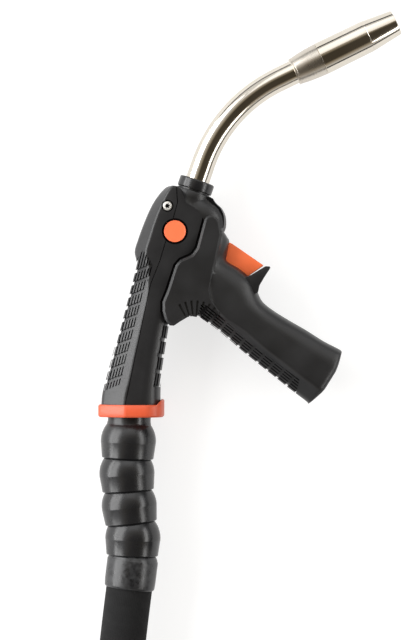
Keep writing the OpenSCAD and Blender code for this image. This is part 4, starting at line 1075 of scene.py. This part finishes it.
# %% Turn the nozzle and its socket
HOLDER = [(9.22, 0), (10.3, 0), (10.75, 0.25), (10.75, 1.1), (10.45, 1.3), (10.45, 1.6), (10.7, 1.9),
          (11.2, 5.6), (11.7, 10), (12.1, 15), (12.35, 19.5), (12.45, 22.3), (12.2, 22.6), (10.9, 22.6),
          (10.9, 34.6), (7.9, 34.6), (7.9, 10), (9.22, 10)]
BARREL = [(10.92, 22.62), (12.3, 22.62), (12.6, 22.9), (12.32, 61.6), (12.15, 61.75), (12.15, 62.2),
          (12.28, 62.4), (9.85, 85.0), (9.7, 85.6), (9.3, 86), (8.3, 86), (8, 85.6), (8, 74), (9.6, 62.5),
          (10.92, 43.6)]
holder = turn_on_lathe("nozzle_holder_turned", HOLDER, nozzle_stand)
barrel = turn_on_lathe("gas_nozzle_turned", BARREL, nozzle_stand)
for piece, node, finish in ((holder, "nozzle_holder", nickel_satin), (barrel, "gas_nozzle", nickel_polished)):
    dress(soften(piece, 0, 22), finish)
    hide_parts(node)
    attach(piece, "neck")
print("nozzle:", len(holder.data.vertices) + len(barrel.data.vertices), "points")

# %% [markdown]
# ## The disc and the screw
#
# The orange disc sits in a recess across the seam, whose faces are painted with shade. It is bare,
# with a slightly raised rim. The screw that closes the cover has a bright rounded head and a
# six-lobed socket, whose faces are painted with shade too.

# %% Press the disc and turn the screw
DISC = [(0, 0), (8.0, 0), (8.2, 0.2), (8.2, 1.15), (8.0, 1.45), (7.75, 1.5), (7.5, 1.36), (0, 1.3)]
SCREW = [(0, -27.8), (1.8, -27.8), (1.8, 0), (3.75, 0), (3.75, 1.3), (3.5, 1.85), (2.9, 2.2), (0, 2.3)]
disc = turn_on_lathe("badge_disc_pressed", DISC, stand(*BADGE, 0, 18.95) @ UPWARDS)
dress(soften(disc, 0, 25), orange_disc)
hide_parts("badge_disc")
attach(disc, "handle")
screw = turn_on_lathe("cover_screw_turned", SCREW, stand(*COVER_SCREW, 0, SCREW_SEAT) @ UPWARDS, 48)
dress(screw, screw_zinc)
lobes = []
for k in range(24):
    reach = 2.0 if k % 4 < 2 else 1.35
    lobes.append((reach * math.cos(math.pi * k / 12), reach * math.sin(math.pi * k / 12)))
# The socket's faces get painted shade
cut(screw, slab("screw_drive", lobes, 1.0, 6, stand(*COVER_SCREW, 0, SCREW_SEAT)), shade=painted_groove_shade)
soften(screw, 0, 30)
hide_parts("cover_screw")
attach(screw, "handle")
print("disc and screw in place")

# %% [markdown]
# ## The connector and the tie
#
# At the far end the hose goes through a ribbed rubber boot that tapers down onto it, so that the
# hose never kinks at the connector. Its ribs are bevelled, so they are points of its profile.

# %% Turn the boot
plug_stand = Matrix.Translation(plug_foot) @ Matrix.Rotation(math.radians(2.2), 4, "X")
boot_outside = [(17.6, 0), (18.4, 0.3), (18.7, 1.0)]
for k in range(8):
    foot, reach = 4 + 6.4 * k, 18.5 + 0.06 * k
    boot_outside += [(reach, foot), (reach - 0.5, foot + 0.5), (reach - 1.5, foot + 0.9),
                     (reach - 1.5, foot + 2.0), (reach - 0.5, foot + 2.4), (reach, foot + 2.9)]
boot_outside += [(19.2, 56), (19.9, 62), (20.0, 64), (20.0, 83), (19.6, 83.8), (17.0, 83.8)]
boot = turn_on_lathe("connector_boot_turned", [*boot_outside, (17.0, 70), (0, 70), (0, 0)], plug_stand)
dress(soften(boot, 0, 40), rubber_black)
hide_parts("connector_boot")
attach(boot, "hose")
print("boot:", len(boot.data.vertices), "points")

# %% [markdown]
# The connector's shell, the union nut and the collar under the neck have their exact solids in the
# frame already. A real moulding has no knife edges, though, so each is copied, its doubled points
# are merged, and its edges are rounded.

# %% Round the edges of the moulded solids
def rounded_copy(node, name, width, body, material):
    """A copy of a frame solid with merged points and rounded edges, standing for that solid."""
    piece = face_outwards(add_object(name, frame["nodes"][node].data.copy()))
    dress(soften(piece, width, 40, 2), material)
    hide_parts(node)
    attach(piece, body)
    return piece


plug_shell = rounded_copy("connector_shell", "connector_shell_moulded", 0.4, "hose", plug_black)
plug_nut = rounded_copy("union_nut", "union_nut_moulded", 0.5, "union_nut", plug_black)
collar = rounded_copy("neck_collar", "neck_collar_moulded", 0.25, "neck", joint_black)
print("rounded:", [len(piece.data.vertices) for piece in (plug_shell, plug_nut, collar)])

# %% [markdown]
# Behind the trigger sits a small wire spring. A pulled trigger presses it flat against the floor of
# its pocket. Here the spring is a steel copy of its solid, with a mesh of its own.

# %% Copy the spring
spring = rounded_copy("trigger_spring", "trigger_spring_wound", 0, "handle", steel_bright)
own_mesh(spring)
print("spring:", len(spring.data.vertices), "points")

# %% [markdown]
# A fabric strap holds the coil. It runs round three strands and closes on itself, so its line is
# the outline of three circles with a tight band round them, and its free end lies a layer higher.

# %% Fasten the strap
# The middle of each strand, and the angles between which the strap lies on it
STRANDS = [((196.34, -5.0), -90, 45.4), ((159.88, 31.0), 45.4, 180), ((159.88, -5.0), 180, 270)]
STRAP_WIDE, PAST_EDGE = 22.0, 5


def strap_line(reach):
    """The tight line round the three strands at a distance from their middles."""
    return [(x + reach * math.cos(math.radians(a0 + (a1 - a0) * k / 12)),
             y + reach * math.sin(math.radians(a0 + (a1 - a0) * k / 12)))
            for (x, y), a0, a1 in STRANDS for k in range(13)]


strap_stand = stand(COIL_X + STRAP_WIDE / 2, COIL_Y, -90) @ UPWARDS
strap = slab("coil_tie_strap", strap_line(20.0), 0, STRAP_WIDE, strap_stand)
cut(strap, slab("inside_strap", strap_line(18.4), -PAST_EDGE, STRAP_WIDE + PAST_EDGE, strap_stand))
end_tab = slab("strap_end", strap_line(21.5), 1.0, STRAP_WIDE - 1.0, strap_stand)
cut(end_tab, slab("inside_tab", strap_line(19.9), -PAST_EDGE, STRAP_WIDE + PAST_EDGE, strap_stand))
BEYOND_TAB = [(120, -60), (260, -60), (260, 40), (172, 40), (172, 70), (120, 70), (120, 8), (150, 8),
              (150, -6), (120, -6)]
cut(end_tab, slab("beyond_tab", BEYOND_TAB, -PAST_EDGE, STRAP_WIDE + PAST_EDGE, strap_stand))
cut(strap, end_tab, "UNION")
dress(soften(strap, 0.35, 40, 2), strap_woven)
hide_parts("coil_strap")
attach(strap, "hose")
print("strap:", len(strap.data.vertices), "points")

# %% [markdown]
# ## What the frame already shows well
#
# The neck, the turned and drilled inner pieces, the connector's insert and pins, and the grip's
# screws have their final shape in the frame. They keep their solids and only get a finish.

# %% Finish the carried pieces
CARRIED = (
    (nickel_polished, "neck_tube"),
    (copper_drawn, "contact_tip", "neck_conductor"),
    (brass_turned, "tip_adapter", "power_block", "gas_wire_pin", "control_pin_left", "control_pin_right"),
    (insulator_ivory, "gas_diffuser", "neck_insulator", "switch_plunger"),
    (steel_bright, "wire_liner", "grip_screws", "trigger_pin"),
    (rubber_black, "handle_cable", "connector_insert", "pin_o_rings"),
    (plug_black, "switch_body"),
    (orange_dyed, "switch_leads"),
)
for material, *node_names in CARRIED:
    for node_name in node_names:
        dress(frame["nodes"][node_name], material)
print("finished the carried solids in", len(CARRIED), "finishes")
